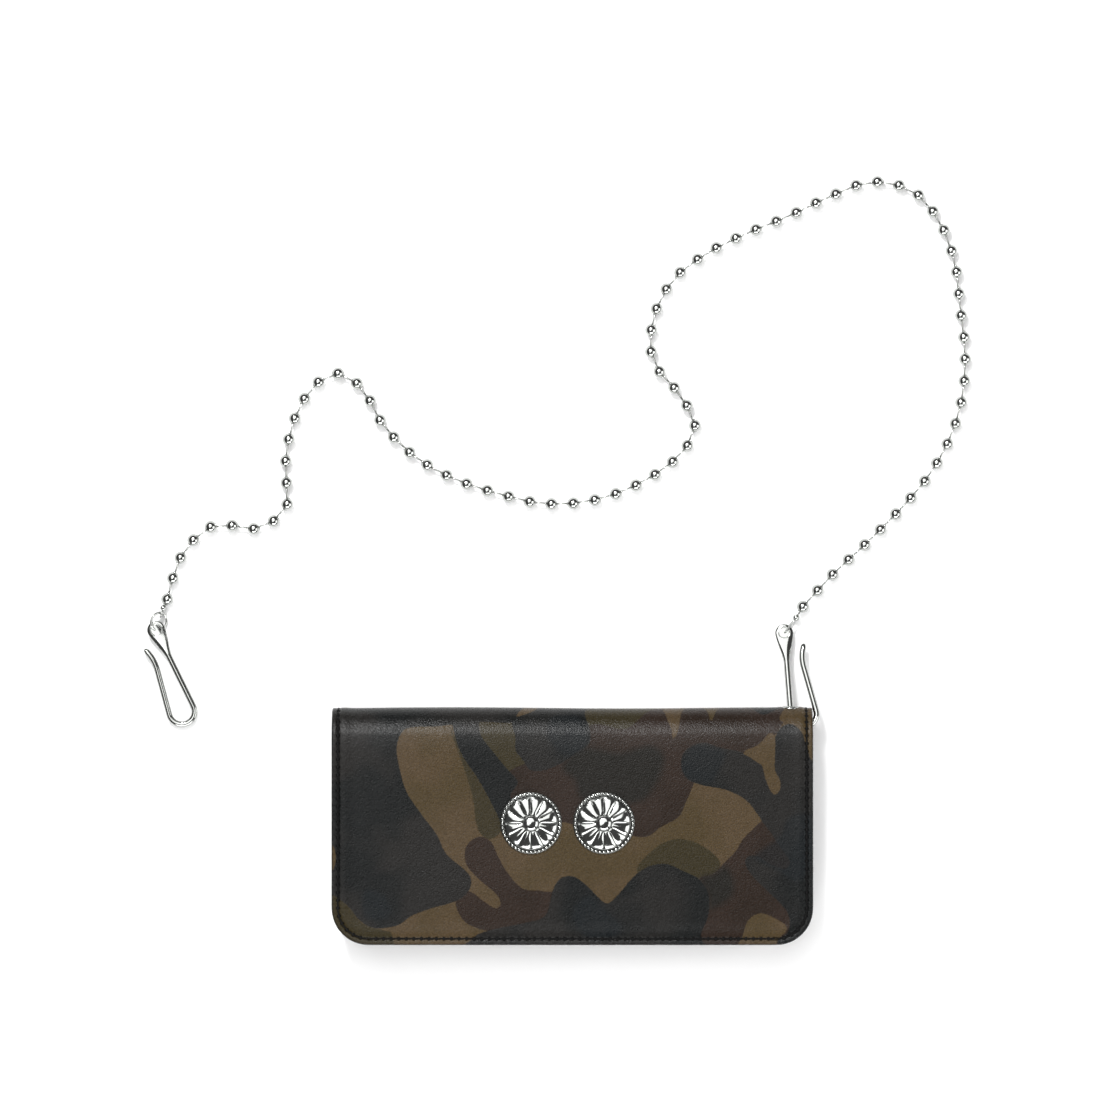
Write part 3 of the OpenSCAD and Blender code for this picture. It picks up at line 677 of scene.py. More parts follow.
def rounded_sheet(x0, x1, v0, v1, radii, t, edge, step, stops=(), rim=3, fine_edge=True):
    """A flat sheet with a rounded rim: points (x, v, depth) and faces. Radii are for the corners at
    (x0, v0), (x1, v0), (x0, v1), (x1, v1)."""
    r00, r10, r01, r11 = (max(r - edge, 0.4) for r in radii)
    a0, a1, b0, b1 = x0 + edge, x1 - edge, v0 + edge, v1 - edge
    vs = sheet_rows(b0, b1, max(r00, r10), max(r01, r11), step, stops)
    xl, nl = sheet_side(vs, a0, -1, b0, b1, r00, r01)
    xr, nr = sheet_side(vs, a1, 1, b0, b1, r10, r11)
    width = a1 - a0
    if fine_edge:
        near = np.array([0, 0.5, 1.0, 1.5, 2.0, 2.5, 3.0, 3.6, 4.3, 5.2, 6.3, 7.6, FINE_IN])
        columns = max(2, round((width - 2 * FINE_IN) / step))
        middle = np.linspace(FINE_IN, width - FINE_IN, columns + 1)[1:-1]
        cs = np.concatenate([near, middle, width - near[::-1]]) / width
    else:
        cs = np.linspace(0, 1, max(2, round(width / step)) + 1)
    nrow, ncol = len(vs), len(cs)
    gx = xl[:, None] + (xr - xl)[:, None] * cs
    gv = np.repeat(vs[:, None], ncol, 1)
    top = np.stack([gx, gv, np.zeros_like(gx)], -1).reshape(-1, 3)
    index = np.arange(nrow * ncol).reshape(nrow, ncol)
    loop = np.concatenate([index[0, :], index[1:, -1], index[-1, -2::-1], index[-2:0:-1, 0]])
    normals = np.vstack([[(0.0, -1.0)] * ncol, nr[1:-1], [(0.0, 1.0)] * ncol, nl[-2:0:-1]])

    # the rim's rings go out and down from the top face, then in again to the bottom face
    quarter = [math.pi / 2 * q / rim for q in range(1, rim + 1)]
    rings = [(edge * math.sin(p), edge * (1 - math.cos(p))) for p in quarter]
    rings += [(off, t - depth) for off, depth in reversed(rings)]
    points = [top]
    at = [loop]
    for off, depth in rings:
        ring = top[loop]
        ring[:, :2] += normals * off
        ring[:, 2] = depth
        at.append(sum(len(p) for p in points) + np.arange(len(loop)))
        points.append(ring)
    bottom = top.copy()
    bottom[:, 2] = t
    n_bottom = sum(len(p) for p in points)
    points.append(bottom)
    at.append(n_bottom + loop)
    quads = np.stack([index[:-1, :-1], index[:-1, 1:], index[1:, 1:], index[1:, :-1]], -1).reshape(-1, 4)
    faces = [quads, quads[:, ::-1] + n_bottom]
    for u, w in zip(at[:-1], at[1:]):
        faces.append(np.stack([u, w, np.roll(w, -1), np.roll(u, -1)], -1))
    return np.vstack(points), np.vstack(faces)


def outline_depth(x, v):
    """How far a point is inside the leather's outline, and its place along the stitching, in stitches."""
    r = CORNER_R
    dv = np.minimum(v - V0, V1 - v)
    dx = W / 2 - np.abs(x)
    cx, cv = r - dx, r - dv
    corner = (cx > 0) & (cv > 0)
    inside = np.where(corner, r - np.hypot(np.maximum(cx, 0), np.maximum(cv, 0)), np.minimum(dx, dv))
    front = np.where(v < V_MID, v, 2 * V_MID - v)
    side_start = V0 + r
    side_pitch = (FOLD_Y - side_start) / SIDE_STITCHES
    fold_pitch = math.pi * R / FOLD_STITCHES
    along_side = np.where(front < FOLD_Y, (front - side_start) / side_pitch,
                          SIDE_STITCHES + (front - FOLD_Y) / fold_pitch)
    along_end = (x + W / 2 - r) / ((W - 2 * r) / END_STITCHES)
    angle = np.degrees(np.arctan2(np.maximum(cv, 0), np.maximum(cx, 1e-6)))
    run = np.where(corner, angle * CORNER_STITCHES / 90, np.where(dx < dv, along_side, along_end))
    return inside, run


def swell(x, v):
    """Slow waves in soft leather, and the roll's easy start before the fold."""
    s = np.where(v < V_MID, v, 2 * V_MID - v) - FOLD_Y
    inside, _ = outline_depth(x, v)
    fade = np.clip(inside / 22, 0, 1) ** 1.5
    wave = 0.16 * np.sin(x / 19 + 0.6) * np.sin(v / 14 + 1.1) + 0.12 * np.sin(x / 31 - v / 23) + 0.1
    roll = np.where(v < V_MID, 0.85, 0.5) * np.exp(-((s - 5.0) / 6.5) ** 2)
    pinch = 0.45 * np.exp(-(np.hypot(x - EYELET[0], s - math.pi * R / 2) / 6.5) ** 2)
    return wave * fade - roll + pinch


def pressed(x, v):
    """The line of stitches pulls the leather down and puffs it up beside."""
    inside, run = outline_depth(x, v)
    pull = 0.75 + 0.25 * np.cos(2 * np.pi * run)
    sunk = 0.34 * np.exp(-((inside - STITCH_IN) / 0.75) ** 2) * pull
    puffed = 0.20 * np.exp(-((inside - 5.2) / 1.9) ** 2)
    rim = 0.06 * np.exp(-((inside - 0.9) / 0.6) ** 2)
    return puffed + rim - sunk


def roll(points, lift):
    """From flat leather (x, v, depth) to its place: front cover, round the fold, back cover."""
    x, v, n = np.asarray(points, float).T
    theta = np.clip((v - FOLD_Y) / R, 0, np.pi)
    past = np.maximum(v - FOLD_Y - R * np.pi, 0)
    r = R - n + lift
    return np.stack([x, np.minimum(v, FOLD_Y) - past + r * np.sin(theta), R + r * np.cos(theta)], -1)


# ---------------------------- camouflage
# Loose drawn shapes: smooth closed curves through their points, in millimetres on the flat leather.
PRINT = {
    "charcoal": [
        [(-67, 40), (-71, 33), (-70, 24), (-67, 14), (-61, 5), (-55, -3), (-51, -11), (-44, -17),
         (-41, -21), (-42, -26), (-47, -30), (-57, -33), (-65, -36), (-71, -40), (-80, -41), (-86, -38),
         (-91, -32), (-98, -27), (-108, -24), (-108, 72), (-50, 78), (-20, 72), (-17, 58), (-22, 48),
         (-24, 43), (-34, 43), (-40, 43), (-54, 41)],
        [(-48, 44), (-47, 35), (-44, 28), (-38, 19), (-33, 10), (-29, 2), (-27, -1), (-24, 1), (-24, 8),
         (-25, 13), (-22, 18), (-26, 23), (-31, 29), (-37, 37), (-39, 44)],
        [(-12, 60), (-15, 50), (-24, 44), (-23, 36), (-23, 31), (-20, 27), (-17, 23), (-11, 23),
         (-4, 26), (3, 31), (7, 34), (7, 40), (5, 48), (6, 60)],
        [(-42, -52), (-40, -45), (-34, -42), (-20, -39), (-11, -36), (-8, -26), (-5, -21), (0, -20),
         (5, -23), (10, -28), (14, -31), (18, -28), (25, -20), (31, -16), (38, -15), (45, -18),
         (51, -21), (55, -27), (55, -36), (52, -44), (52, -56), (0, -62)],
        [(108, 40), (98, 27), (95, 32), (93, 38), (89, 42), (85, 41), (82, 36), (81, 28), (77, 25),
         (69, 30), (60, 32), (53, 34), (46, 31), (44, 26), (46, 20), (52, 17), (62, 15), (70, 11),
         (75, 5), (77, 2), (80, -2), (84, -8), (88, -14), (86, -17), (80, -15), (75, -12), (71, -12),
         (70, -15), (73, -20), (79, -26), (86, -33), (88, -38), (87, -43), (84, -48), (108, -58)],
    ],
    "burgundy": [
        [(-26, 22), (-14, 27), (-2, 30), (8, 42), (22, 40), (34, 52), (52, 54), (70, 54), (85, 54),
         (87, 47), (82, 37), (75, 30), (66, 28), (56, 28), (50, 24), (50, 20), (49, 17), (46, 10),
         (43, 4), (36, 0), (30, -4), (22, -3), (16, 0), (10, -4), (3, 0), (-6, 2), (-13, -1), (-20, -3),
         (-27, 0), (-29, 10)],
        [(-38, -4), (-43, -8), (-43, -15), (-38, -21), (-31, -27), (-29, -31), (-31, -33), (-36, -30),
         (-42, -26), (-47, -29), (-46, -35), (-41, -40), (-28, -43), (-8, -40), (-3, -28), (-12, -26),
         (-20, -25), (-26, -19), (-30, -12), (-33, -6)],
        [(78, 3), (73, -1), (69, -5), (66, -10), (61, -15), (57, -19), (51, -21), (53, -27), (54, -37),
         (50, -52), (92, -52), (90, -36), (82, -24), (78, -16), (90, -20), (90, -10), (83, 0)],
    ],
    "olive": [
        [(-50, 41), (-48, 35), (-45, 27), (-42, 18), (-40, 10), (-39, 2), (-37, -3), (-33, -5),
         (-29, -2), (-29, 3), (-33, 10), (-38, 19), (-43, 27), (-46, 34)],
        [(26, -18), (33, -9), (41, -5), (49, -6), (56, -10), (60, -15), (56, -20), (48, -24), (38, -22)],
        [(3, 58), (5, 45), (6, 38), (6, 34), (9, 32), (14, 31), (20, 35), (27, 43), (32, 50), (37, 60)],
        [(-41, 43), (-30, 43), (-22, 43), (-21, 36), (-21, 31), (-19, 26), (-18, 21), (-21, 18),
         (-26, 22), (-32, 29), (-38, 37)],
        [(-108, -24), (-97, -27), (-91, -32), (-85, -39), (-76, -42), (-73, -44), (-74, -58),
         (-108, -58)],
    ],
    "shade": [
        [(-4, 24), (3, 32), (12, 31), (20, 30), (31, 33), (37, 29), (36, 22), (33, 16), (29, 11),
         (20, 9), (10, 10), (3, 12), (1, 19)],
        [(52, -21), (57, -19), (62, -16), (65, -21), (65, -27), (61, -31), (56, -33), (55, -28)],
    ],
    "blue": [
        [(45, 27), (49, 33), (57, 32), (62, 30), (60, 24), (56, 18), (52, 18), (45, 21)],
        [(-10, 38), (-8, 33), (-2, 29), (5, 32), (6, 38), (2, 46), (-8, 46)],
        [(74, -12), (82, -17), (92, -22), (97, -12), (97, 4), (88, 4), (84, -4)],
        [(0, -36), (6, -28), (14, -34), (20, -42), (8, -46)],
        [(-84, -26), (-76, -28), (-74, -36), (-84, -37)],
    ],
    "drip": [
        [(69, 30), (75, 33), (80, 38), (82, 36), (82, 29), (82, 23), (84, 19), (84, 15), (82, 13),
         (80, 15), (78, 20), (76, 26)],
        [(88, 66), (87, 54), (84, 45), (86, 43), (90, 43), (94, 38), (97, 29), (108, 26), (108, 66)],
        [(36, 58), (38, 46), (40, 40), (41, 35), (43, 40), (44, 47), (46, 58)],
        [(51, 60), (55, 48), (56, 43), (58, 48), (61, 60)],
        [(-21, 60), (-20, 53), (-17, 50), (-14, 53), (-13, 60)],
        [(66, -52), (69, -44), (71, -38), (76, -35), (82, -37), (87, -41), (83, -46), (80, -52)],
        [(-106, -7), (-98, -7), (-96, -10), (-96, -15), (-98, -18), (-106, -18)],
    ],
}


def blob(pick, x, v, size):
    """A loose rounded outline of nine points round (x, v)."""
    stretch, lean = pick.uniform(0.6, 1.6), pick.uniform(0, math.pi)
    outline = []
    for a in around(9):
        r = size * pick.uniform(0.55, 1.25)
        px, pv = r * math.cos(a) * stretch, r * math.sin(a) / stretch
        outline.append((x + px * math.cos(lean) - pv * math.sin(lean),
                        v + px * math.sin(lean) + pv * math.cos(lean)))
    return outline


BACK_PRINT = (("olive", 4, 17), ("burgundy", 5, 20), ("charcoal", 7, 21), ("blue", 3, 13), ("drip", 3, 9))
pick = random.Random(11)
for name, count, size in BACK_PRINT:
    for i in range(count):
        x = -92 + 184 * (i + pick.random()) / count
        PRINT[name].append(blob(pick, x, pick.uniform(72, 158), size))


def distance_to(shape, x, v):
    """Signed distance to a smooth closed outline: less than 0 inside."""
    line = smooth_curve(shape, 6, closed=True)
    lo, hi = line.min(0) - 4, line.max(0) + 4
    out = np.full(len(x), 4.0)
    near = np.where((x > lo[0]) & (x < hi[0]) & (v > lo[1]) & (v < hi[1]))[0]
    if len(near) == 0:
        return out
    p = np.stack([x[near], v[near]], -1)[:, None]
    a, b = line[None], np.roll(line, -1, 0)[None]
    ab = b - a
    t = np.clip(((p - a) * ab).sum(-1) / np.maximum((ab * ab).sum(-1), 1e-9), 0, 1)
    d = np.linalg.norm(p - a - ab * t[..., None], axis=-1).min(1)
    rise = np.where(np.abs(ab[..., 1]) < 1e-9, 1e-9, ab[..., 1])
    cross_x = ab[..., 0] * (p[..., 1] - a[..., 1]) / rise + a[..., 0]
    crosses = ((a[..., 1] > p[..., 1]) != (b[..., 1] > p[..., 1])) & (p[..., 0] < cross_x)
    inside = crosses.sum(1) % 2 == 1
    out[near] = np.minimum(np.where(inside, -d, d), 4.0)
    return out


def print_fields(x, v):
    """For each colour of the print, how far each point is outside its shapes."""
    return {name: np.min([distance_to(s, x, v) for s in shapes], axis=0) for name, shapes in PRINT.items()}


def in_parts(name, points, places, faces, cuts, fields):
    """Splits a rolled sheet by rows into pieces that meet exactly, with the whole sheet's own normals."""
    whole = piece(name, places, faces)
    normals = np.zeros(len(places) * 3, np.float32)
    whole.data.vertex_normals.foreach_get("vector", normals)
    normals = normals.reshape(-1, 3)
    mean_v = points[faces][:, :, 1].mean(1)
    made = []
    for label, low, high in cuts:
        chosen = faces[(mean_v > low) & (mean_v < high)]
        used = np.unique(chosen)
        back = np.full(len(places), -1)
        back[used] = np.arange(len(used))
        obj = piece(f"{name}_{label}", places[used], back[chosen])
        for key, values in fields.items():
            store(obj, key, values[used])
        obj.data.normals_split_custom_set_from_vertices(normals[used].tolist())
        made.append(obj)
    bpy.data.objects.remove(whole)
    return made


CUTS = (("front", -1e3, HINGE_V[0]), ("hinge", HINGE_V[0], HINGE_V[1]), ("back", HINGE_V[1], 1e3))


def fit_halves(front, hinge, back, slot, node):
    """The front piece rides on the cover that opens, the back piece on the other; the hinge strip rides on
    neither.
    """
    for obj in (front, hinge, back):
        dress(obj, slot)
    for obj, half in ((front, "front"), (back, "back")):
        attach(obj, half + "_half")
        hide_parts(f"{node}_{half}")
    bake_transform(hinge)


def open_at_eyelet(places, faces, radius):
    """Leaves out the faces that the eyelet goes through."""
    near = np.hypot(places[:, 0] - EYELET[0], places[:, 2] - EYELET[1]) < radius
    in_fold = places[faces][:, :, 1].mean(1) > 40
    return faces[~(near[faces].all(1) & in_fold)]


# outer leather
points, faces = rounded_sheet(-W / 2, W / 2, V0, V1, (CORNER_R,) * 4, COVER_T, 0.75, 1.15,
                              stops=HINGE_V + (FOLD_Y + FOLD_MIDDLE, FOLD_Y + FOLD_LENGTH), rim=4)
x, v, depth = points.T
places = roll(points, swell(x, v) + pressed(x, v) * np.clip(1 - depth, 0, 1))
inside, run = outline_depth(x, v)
fields = {"flat": points, "inset": np.where(depth > 0.8, 0.0, inside), "run": run, **print_fields(x, v)}
faces = open_at_eyelet(places, faces, 3.3)
fit_halves(*in_parts("leather", points, places, faces, CUTS, fields), "printed_leather", "outer_leather")

# lining, glued inside it
LINING_IN = 0.15
points, faces = rounded_sheet(-W / 2 + LINING_IN, W / 2 - LINING_IN, V0 + LINING_IN, V1 - LINING_IN,
                              (CORNER_R,) * 4, LINING_T, 0.3, 2.4,
                              stops=HINGE_V + (FOLD_Y + FOLD_LENGTH,), rim=2)
x, v, depth = points.T
places = roll(points + (0, 0, COVER_T), swell(x, v) - 0.02)
faces = open_at_eyelet(places, faces, 4.4)
fields = {"flat": points, "mouth": np.full(len(points), NO_MOUTH)}
fit_halves(*in_parts("lining", points, places, faces, CUTS, fields), "lining_leather", "lining")


# ---------------------------- stitching
def stitch_spots():
    """Middle and direction of each stitch on the covers, on the flat leather."""
    corner_v = V0 + CORNER_R
    corner_r = CORNER_R - STITCH_IN
    half = W / 2 - STITCH_IN
    side_pitch = (FOLD_Y - corner_v) / SIDE_STITCHES
    spots = []
    for s in (-1, 1):
        for i in range(SIDE_STITCHES):
            spots.append((s * half, corner_v + (i + 0.5) * side_pitch, 0, 1))
        for i in range(CORNER_STITCHES):
            a = math.pi / 2 * (i + 0.5) / CORNER_STITCHES
            spots.append((s * (W / 2 - CORNER_R + corner_r * math.cos(a)), corner_v - corner_r * math.sin(a),
                          s * math.sin(a), math.cos(a)))
    end_pitch = (W - 2 * CORNER_R) / END_STITCHES
    for i in range(END_STITCHES):
        spots.append((-W / 2 + CORNER_R + (i + 0.5) * end_pitch, V0 + STITCH_IN, 1, 0))
    spots += [(x, 2 * V_MID - v, dx, -dv) for x, v, dx, dv in spots]
    for s in (-1, 1):
        for i in range(FOLD_STITCHES):
            spots.append((s * half, FOLD_Y + (i + 0.5) * math.pi * R / FOLD_STITCHES, 0, 1))
    return spots


def thread_stitches(spots, to_place, length=2.55, radius=0.34, sink=0.30, seed=3):
    """Short lengths of waxed thread, each a little different, that dive into a hole at both ends."""
    pick = random.Random(seed)
    sides, rings = 8, 9
    turn = around(sides)
    t = np.linspace(-1, 1, rings)
    made = []
    for x, v, dx, dv in spots:
        lean = math.radians(7 + pick.uniform(-4, 4))
        ux, uv = dx * math.cos(lean) - dv * math.sin(lean), dx * math.sin(lean) + dv * math.cos(lean)
        size = radius * pick.uniform(0.92, 1.08)
        r = size * np.sqrt(np.clip(1 - np.abs(t) ** 5, 0.02, 1))
        depth = sink + 0.55 * np.abs(t) ** 3 - 0.5 * size
        c = np.repeat((t * length / 2)[:, None], sides, 1)
        w = r[:, None] * np.cos(turn)
        h = depth[:, None] - 0.8 * r[:, None] * np.sin(turn)
        flat = np.stack([x + c * ux - w * uv, v + c * uv + w * ux, h], -1).reshape(-1, 3)
        made.append((to_place(flat), ring_faces(rings, sides, flipped=True)))
    return joined(made)


def on_cover(flat):
    return roll(flat, swell(flat[:, 0], flat[:, 1]))


SPOT_PAST_HINGE = 0.6
groups = {"front": [], "hinge": [], "back": []}
for spot in stitch_spots():
    if spot[1] < HINGE_V[0] - SPOT_PAST_HINGE:
        groups["front"].append(spot)
    elif spot[1] < HINGE_V[1] + SPOT_PAST_HINGE:
        groups["hinge"].append(spot)
    else:
        groups["back"].append(spot)
seam = [piece("stitches_" + key, *thread_stitches(group, on_cover)) for key, group in groups.items()]
fit_halves(*seam, "thread", "stitching")


# ---------------------------- inside: panels
def panel(name, node, body, x0, x1, v1, z_top, t, inset, radii):
    """A level pocket panel, from a little inside the wallet's open edge to its mouth at v1."""
    points, faces = rounded_sheet(x0, x1, OPEN_Y + inset, v1, radii, t, min(0.4, t * 0.42), 3.0,
                                  rim=2, fine_edge=False)
    x, v, depth = points.T
    obj = piece(name, np.stack([x, v, z_top - depth], -1), faces)
    store(obj, "flat", points)
    store(obj, "mouth", v1 - v)
    return dress(obj, "pocket_leather", body, (node,))


def flat_stitches(spots, up):
    """Stitches on a level face: up is 1 for a face that looks up, -1 for one that looks down."""
    made = []
    for x, y, dx, dy, z in spots:
        def on_face(flat, z=z):
            return np.stack([flat[:, 0], flat[:, 1], z - up * flat[:, 2]], -1)

        seed = int(x * 7 + y * 13) % 997
        made.append(thread_stitches([(x, y, dx, dy)], on_face, length=2.3, radius=0.28, sink=0.02, seed=seed))
    points, faces = joined(made)
    return points, (faces if up > 0 else [face[::-1] for face in faces])


BLUNT = 0.8             # radius of a panel's corners that aren't at the wallet's own
POCKET_IN = 0.8
SLOTS = 4
MOUTH_Y = 33.0          # the first slot's mouth; each slot after it is a step nearer the open edge
SLOT_STEP = 11
SLOT_Z = 19.0           # and a drop deeper
SLOT_DROP = 1.1
SLOT_T = 1.06
CARD_STITCH_X = 2.4
CARD_STITCH_PITCH = 3.0
corner = CORNER_R - POCKET_IN
card_stitch = []
for number in range(1, SLOTS + 1):
    mouth_y = MOUTH_Y - (number - 1) * SLOT_STEP
    last_y = mouth_y - SLOT_STEP + 1 if number < SLOTS else OPEN_Y + 16
    for side, label in ((-1, "left"), (1, "right")):
        x0, x1 = sorted((side * 0.5, side * (W / 2 - POCKET_IN)))
        radii = (corner, BLUNT, BLUNT, BLUNT) if side < 0 else (BLUNT, corner, BLUNT, BLUNT)
        panel(f"card_panel_{label}_{number}", f"card_slot_{label}_{number}", "front_half", x0, x1, mouth_y,
              SLOT_Z - (number - 1) * SLOT_DROP - 0.02, SLOT_T, POCKET_IN, radii)
        y = mouth_y - CARD_STITCH_X
        while y > last_y:
            card_stitch.append((side * CARD_STITCH_X, y, 0, 1, SLOT_Z - number * SLOT_DROP))
            y -= CARD_STITCH_PITCH
dress(piece("card_stitches", *flat_stitches(card_stitch, -1)), "thread", "front_half")

POUCH_IN = 7.5
POUCH_Y = 31.0
WALL_T = 1.0
REAR_WALL_Z = 8.4
FRONT_WALL_Z = 13.8
ROW_PITCH = 3.05
SEAM_IN = 2.2           # the pouch's seam from the edge of its front wall
pouch_corner = CORNER_R - POUCH_IN
panel("coin_rear_wall", "coin_pocket_rear_wall", "back_half", -W / 2 + POCKET_IN, W / 2 - POCKET_IN, POUCH_Y,
      REAR_WALL_Z, WALL_T, POCKET_IN, (corner, corner, BLUNT, BLUNT))
panel("coin_front_wall", "coin_pocket_front_wall", "back_half", -W / 2 + POUCH_IN, W / 2 - POUCH_IN, POUCH_Y,
      FRONT_WALL_Z, WALL_T, POUCH_IN, (pouch_corner, pouch_corner, BLUNT, BLUNT))
wall_stitch = []
seam_x = W / 2 - POUCH_IN - SEAM_IN
for i in range(21):
    wall_stitch += [(side * seam_x, POUCH_Y - 3 - i * STITCH_PITCH, 0, 1, FRONT_WALL_Z) for side in (-1, 1)]
for count, first_x, y in ((49, -73.2, OPEN_Y + POUCH_IN + SEAM_IN), (54, -80.8, POUCH_Y - 5.0)):
    wall_stitch += [(first_x + i * ROW_PITCH, y, 1, 0, FRONT_WALL_Z) for i in range(count)]
dress(piece("coin_wall_stitches", *flat_stitches(wall_stitch, 1)), "thread", "back_half")


# ---------------------------- small CAD parts, softened
def softened(node, name, width, slot, body="back_half", segments=2):
    """A CAD piece with its edges rounded over, which stands in for it."""
    work = bmesh.new()
    work.from_mesh(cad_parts[node].data)
    bmesh.ops.remove_doubles(work, verts=work.verts, dist=2e-6)
    bmesh.ops.dissolve_limit(work, angle_limit=math.radians(4), verts=work.verts, edges=work.edges)
    sharp = [e for e in work.edges if e.is_manifold and e.calc_face_angle(0) > math.radians(30)]
    bmesh.ops.bevel(work, geom=sharp, offset=width * MM, offset_type="OFFSET", segments=segments, profile=0.5,
                    affect="EDGES", clamp_overlap=True)
    mesh = bpy.data.meshes.new(name)
    work.to_mesh(mesh)
    work.free()
    mesh.shade_smooth()
    mesh.set_sharp_from_angle(angle=math.radians(50))
    obj = bpy.data.objects.new(name, mesh)
    scene.collection.objects.link(obj)
    if slot == "pocket_leather":
        points = np.array([v.co[:] for v in mesh.vertices]) / MM
        store(obj, "flat", points)
        store(obj, "mouth", np.full(len(points), NO_MOUTH))
    return dress(obj, slot, body, (node,))


for label in ("left", "right"):
    softened(f"bill_gusset_{label}", f"gusset_{label}", 0.18, "pocket_leather")
softened("bill_bottom_welt", "bottom_welt", 0.35, "pocket_leather")
softened("coin_pocket_edge_strip", "pouch_edge_strip", 0.3, "pocket_leather")
for label in ("rear", "front"):
    softened(f"zipper_tape_{label}", f"zip_tape_{label}", 0.16, "zip_tape")
    softened(f"zipper_teeth_{label}", f"zip_teeth_{label}", 0.22, "zip_metal")
softened("zipper_stops", "zip_stops", 0.2, "zip_metal")
softened("zipper_slider", "zip_slider_body", 0.28, "zip_metal", "zip_slider", 3)
softened("zipper_pull", "zip_pull_tab", 0.25, "zip_metal", "zip_pull", 3)
softened("eyelet_washer", "eyelet_backing", 0.2, "bright_metal", "back_half", 3)
softened("concho_screws", "concho_backs", 0.2, "bright_metal", "front_half", 3)

# eyelet: a rolled flange on the leather and a barrel through it
FLANGE_Y = 47.75
flange = [(2.2, -3.9), (2.2, 0.35), (2.32, 0.62), (2.6, 0.82), (3.0, 0.86), (3.4, 0.74), (3.75, 0.45),
          (3.98, 0.05), (3.98, -0.35), (2.7, -0.4), (2.7, -3.9), (2.2, -3.9)]
eyelet = piece("eyelet_rolled", *lathe(flange, (EYELET[0], FLANGE_Y, EYELET[1]), axis="y", sides=56))
dress(eyelet, "bright_metal", "back_half", ("eyelet",))


# ---------------------------- conchos
CONCHO_MIDDLE = -2          # x, between the two
CONCHO_APART = 29.5
CONCHO_Y = 1.5
CONCHO_Z = 22.0
PETALS = 12
BOSS_R = 2.7
BEADS = 44
BEAD_R = 0.78
BEAD_RING_R = 11.65


def concho_dome(turn):
    """Rings of the fluted dome with its boss, and how much each point is in a hollow."""
    sides = len(turn)
    radii = np.concatenate([[0.01], np.linspace(1.0, 2.6, 6), np.linspace(2.9, 10.4, 22), [10.7, 10.9, 10.9]])
    wave = np.abs(np.sin(turn * PETALS / 2)) ** 0.7
    rings, hollow = [], []
    for r in radii:
        dome = 3.1 * math.sqrt(max(0.0, 1 - (r / 11.6) ** 2)) + 0.9
        share = np.clip((r - 2.9) / 2.0, 0, 1) * np.clip((10.6 - r) / 0.7, 0, 1)
        height = dome + share * 0.55 * (wave - 0.75)
        dark = share * np.clip(1 - wave * 1.9, 0, 1)
        if r < BOSS_R + 0.05:
            height = np.full(sides, dome + 0.75 * math.sqrt(max(0.0, 1 - (r / BOSS_R) ** 2)) - 0.05)
            dark = np.zeros(sides)
        elif r < BOSS_R + 0.7:
            height = height - 0.12
            dark = np.full(sides, 0.9)
        elif r > 10.3:
            dark = np.full(sides, 0.8)
        rings.append(np.stack([r * np.cos(turn), r * np.sin(turn), height], -1))
        hollow.append(dark)
    rings[-1][:, 2] = 0
    return rings, np.concatenate(hollow)


def concho(name, node, x):
    """A plain round concho: petal flutes round a dome, a small boss, and a beaded rim."""
    centre = np.array([x, CONCHO_Y, CONCHO_Z])
    sides = 192
    rings, hollow = concho_dome(around(sides))
    plate = [(10.3, 0.0), (12.35, 0.0), (12.5, 0.12), (12.5, 0.5), (12.35, 0.65), (10.3, 0.65)]
    plate_points, plate_faces = lathe(plate, centre, sides=96)
    dome_faces = ring_faces(len(rings), sides, flipped=True)
    parts = [(np.vstack(rings) + centre, dome_faces), (plate_points, plate_faces)]
    for a in around(BEADS):
        at = centre + (BEAD_RING_R * math.cos(a), BEAD_RING_R * math.sin(a), BEAD_R)
        parts.append(ball(at, BEAD_R, 14, 8))
    points, faces = joined(parts)
    obj = piece(name, points, faces)
    dark = np.zeros(len(points))
    dark[:len(hollow)] = hollow
    dark[len(hollow):len(hollow) + len(plate_points)] = 0.75
    store(obj, "hollow", dark)
    obj.data.set_sharp_from_angle(angle=math.radians(60))
    return dress(obj, "bright_metal", "front_half", (node,))


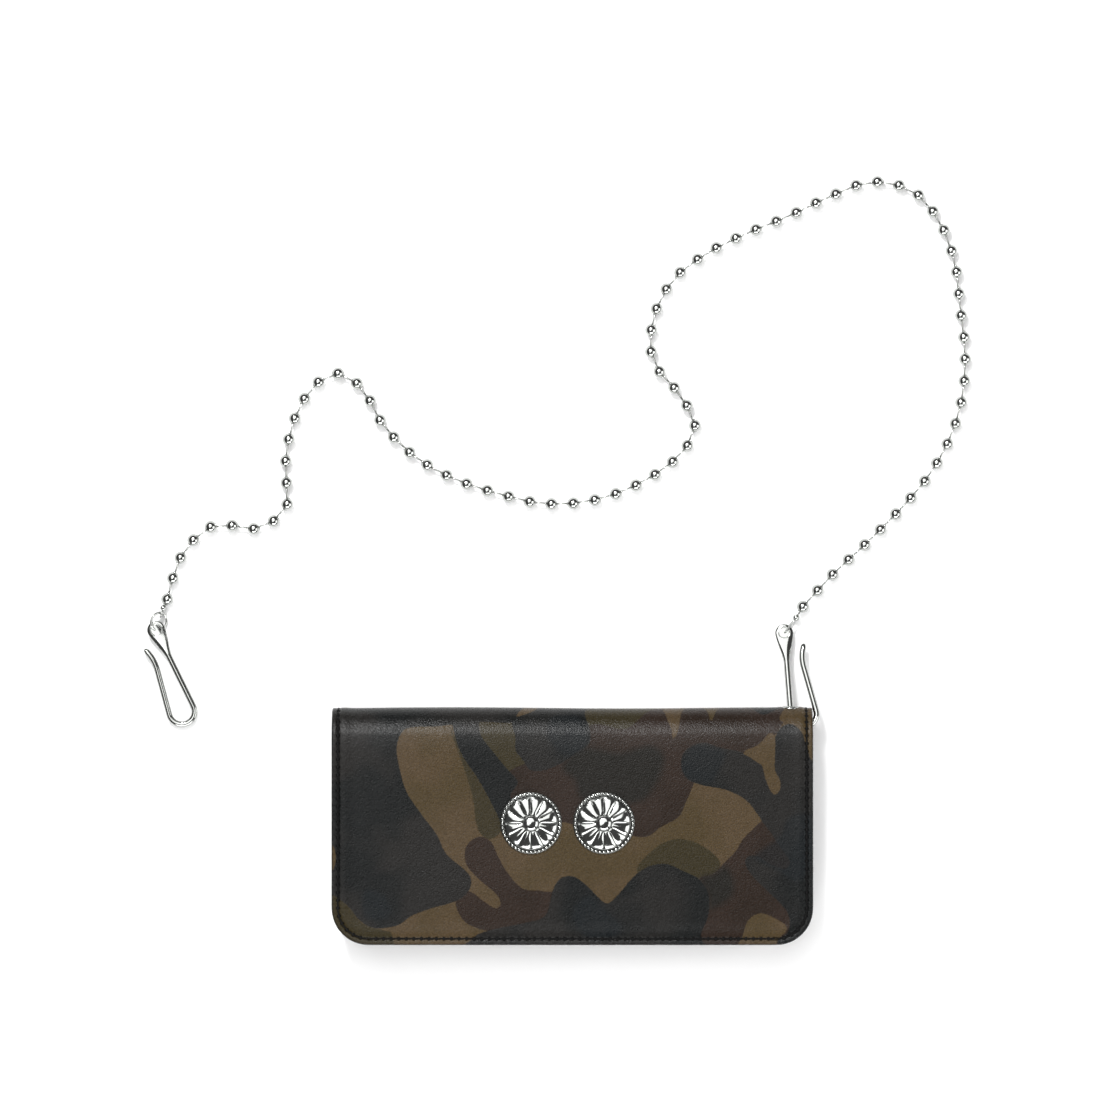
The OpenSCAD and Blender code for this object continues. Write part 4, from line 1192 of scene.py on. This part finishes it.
concho("concho_flower_left", "concho_left", CONCHO_MIDDLE - CONCHO_APART / 2)
concho("concho_flower_right", "concho_right", CONCHO_MIDDLE + CONCHO_APART / 2)


# ---------------------------- floor and light
def floor_material():
    """Matt white paper, all but even."""
    sh = Shader("floor", Roughness=0.85)
    tone = sh.ramp(sh.noise(sh.place(1.0), 3.0, 3.0), 0.3, 0.7, 0.90, 0.92, False)
    colour = sh.add("CombineXYZ", {0: tone, 1: tone, 2: tone}).outputs[0]
    return sh.end(Base_Color=colour, Specular_IOR_Level=0.1)


FLOOR_HALF = 9000
FLOOR_Z = -0.6
corners = ((-1, -1), (1, -1), (1, 1), (-1, 1))
floor = piece("floor", [(x * FLOOR_HALF, y * FLOOR_HALF, FLOOR_Z) for x, y in corners], [(0, 1, 2, 3)])
floor.data.materials.append(floor_material())


def area_light(name, place, target, size, power):
    """A rectangular light in metres and watts, aimed at its target."""
    lamp = bpy.data.lights.new(name, "AREA")
    lamp.shape = "RECTANGLE"
    lamp.size, lamp.size_y = size
    lamp.energy = power
    obj = bpy.data.objects.new(name, lamp)
    scene.collection.objects.link(obj)
    obj.location = place
    obj.rotation_euler = (Vector(target) - Vector(place)).to_track_quat("-Z", "Y").to_euler()


area_light("key", (-0.37, 1.12, 1.40), (-0.06, 0.06, 0), (0.30, 0.26), 25)
area_light("overhead", (-0.24, 0.74, 1.6), (0, 0.1, 0), (1.7, 1.4), 17.5)
area_light("hook_card", (-0.46, -0.10, 1.6), (-0.16, 0.06, 0), (0.46, 0.7), 2.4)
area_light("fill_right", (1.35, -0.2, 0.9), (0, 0.1, 0), (1.2, 1.1), 13.0)
area_light("fill_front", (0.1, -1.3, 0.85), (0, 0.0, 0), (1.8, 0.7), 23.0)
world = bpy.data.worlds.new("studio")
world.use_nodes = True
background = world.node_tree.nodes["Background"]
background.inputs["Color"].default_value = (1.0, 1.0, 1.0, 1)
background.inputs["Strength"].default_value = 0.10
scene.world = world
scene.view_settings.view_transform = "Standard"
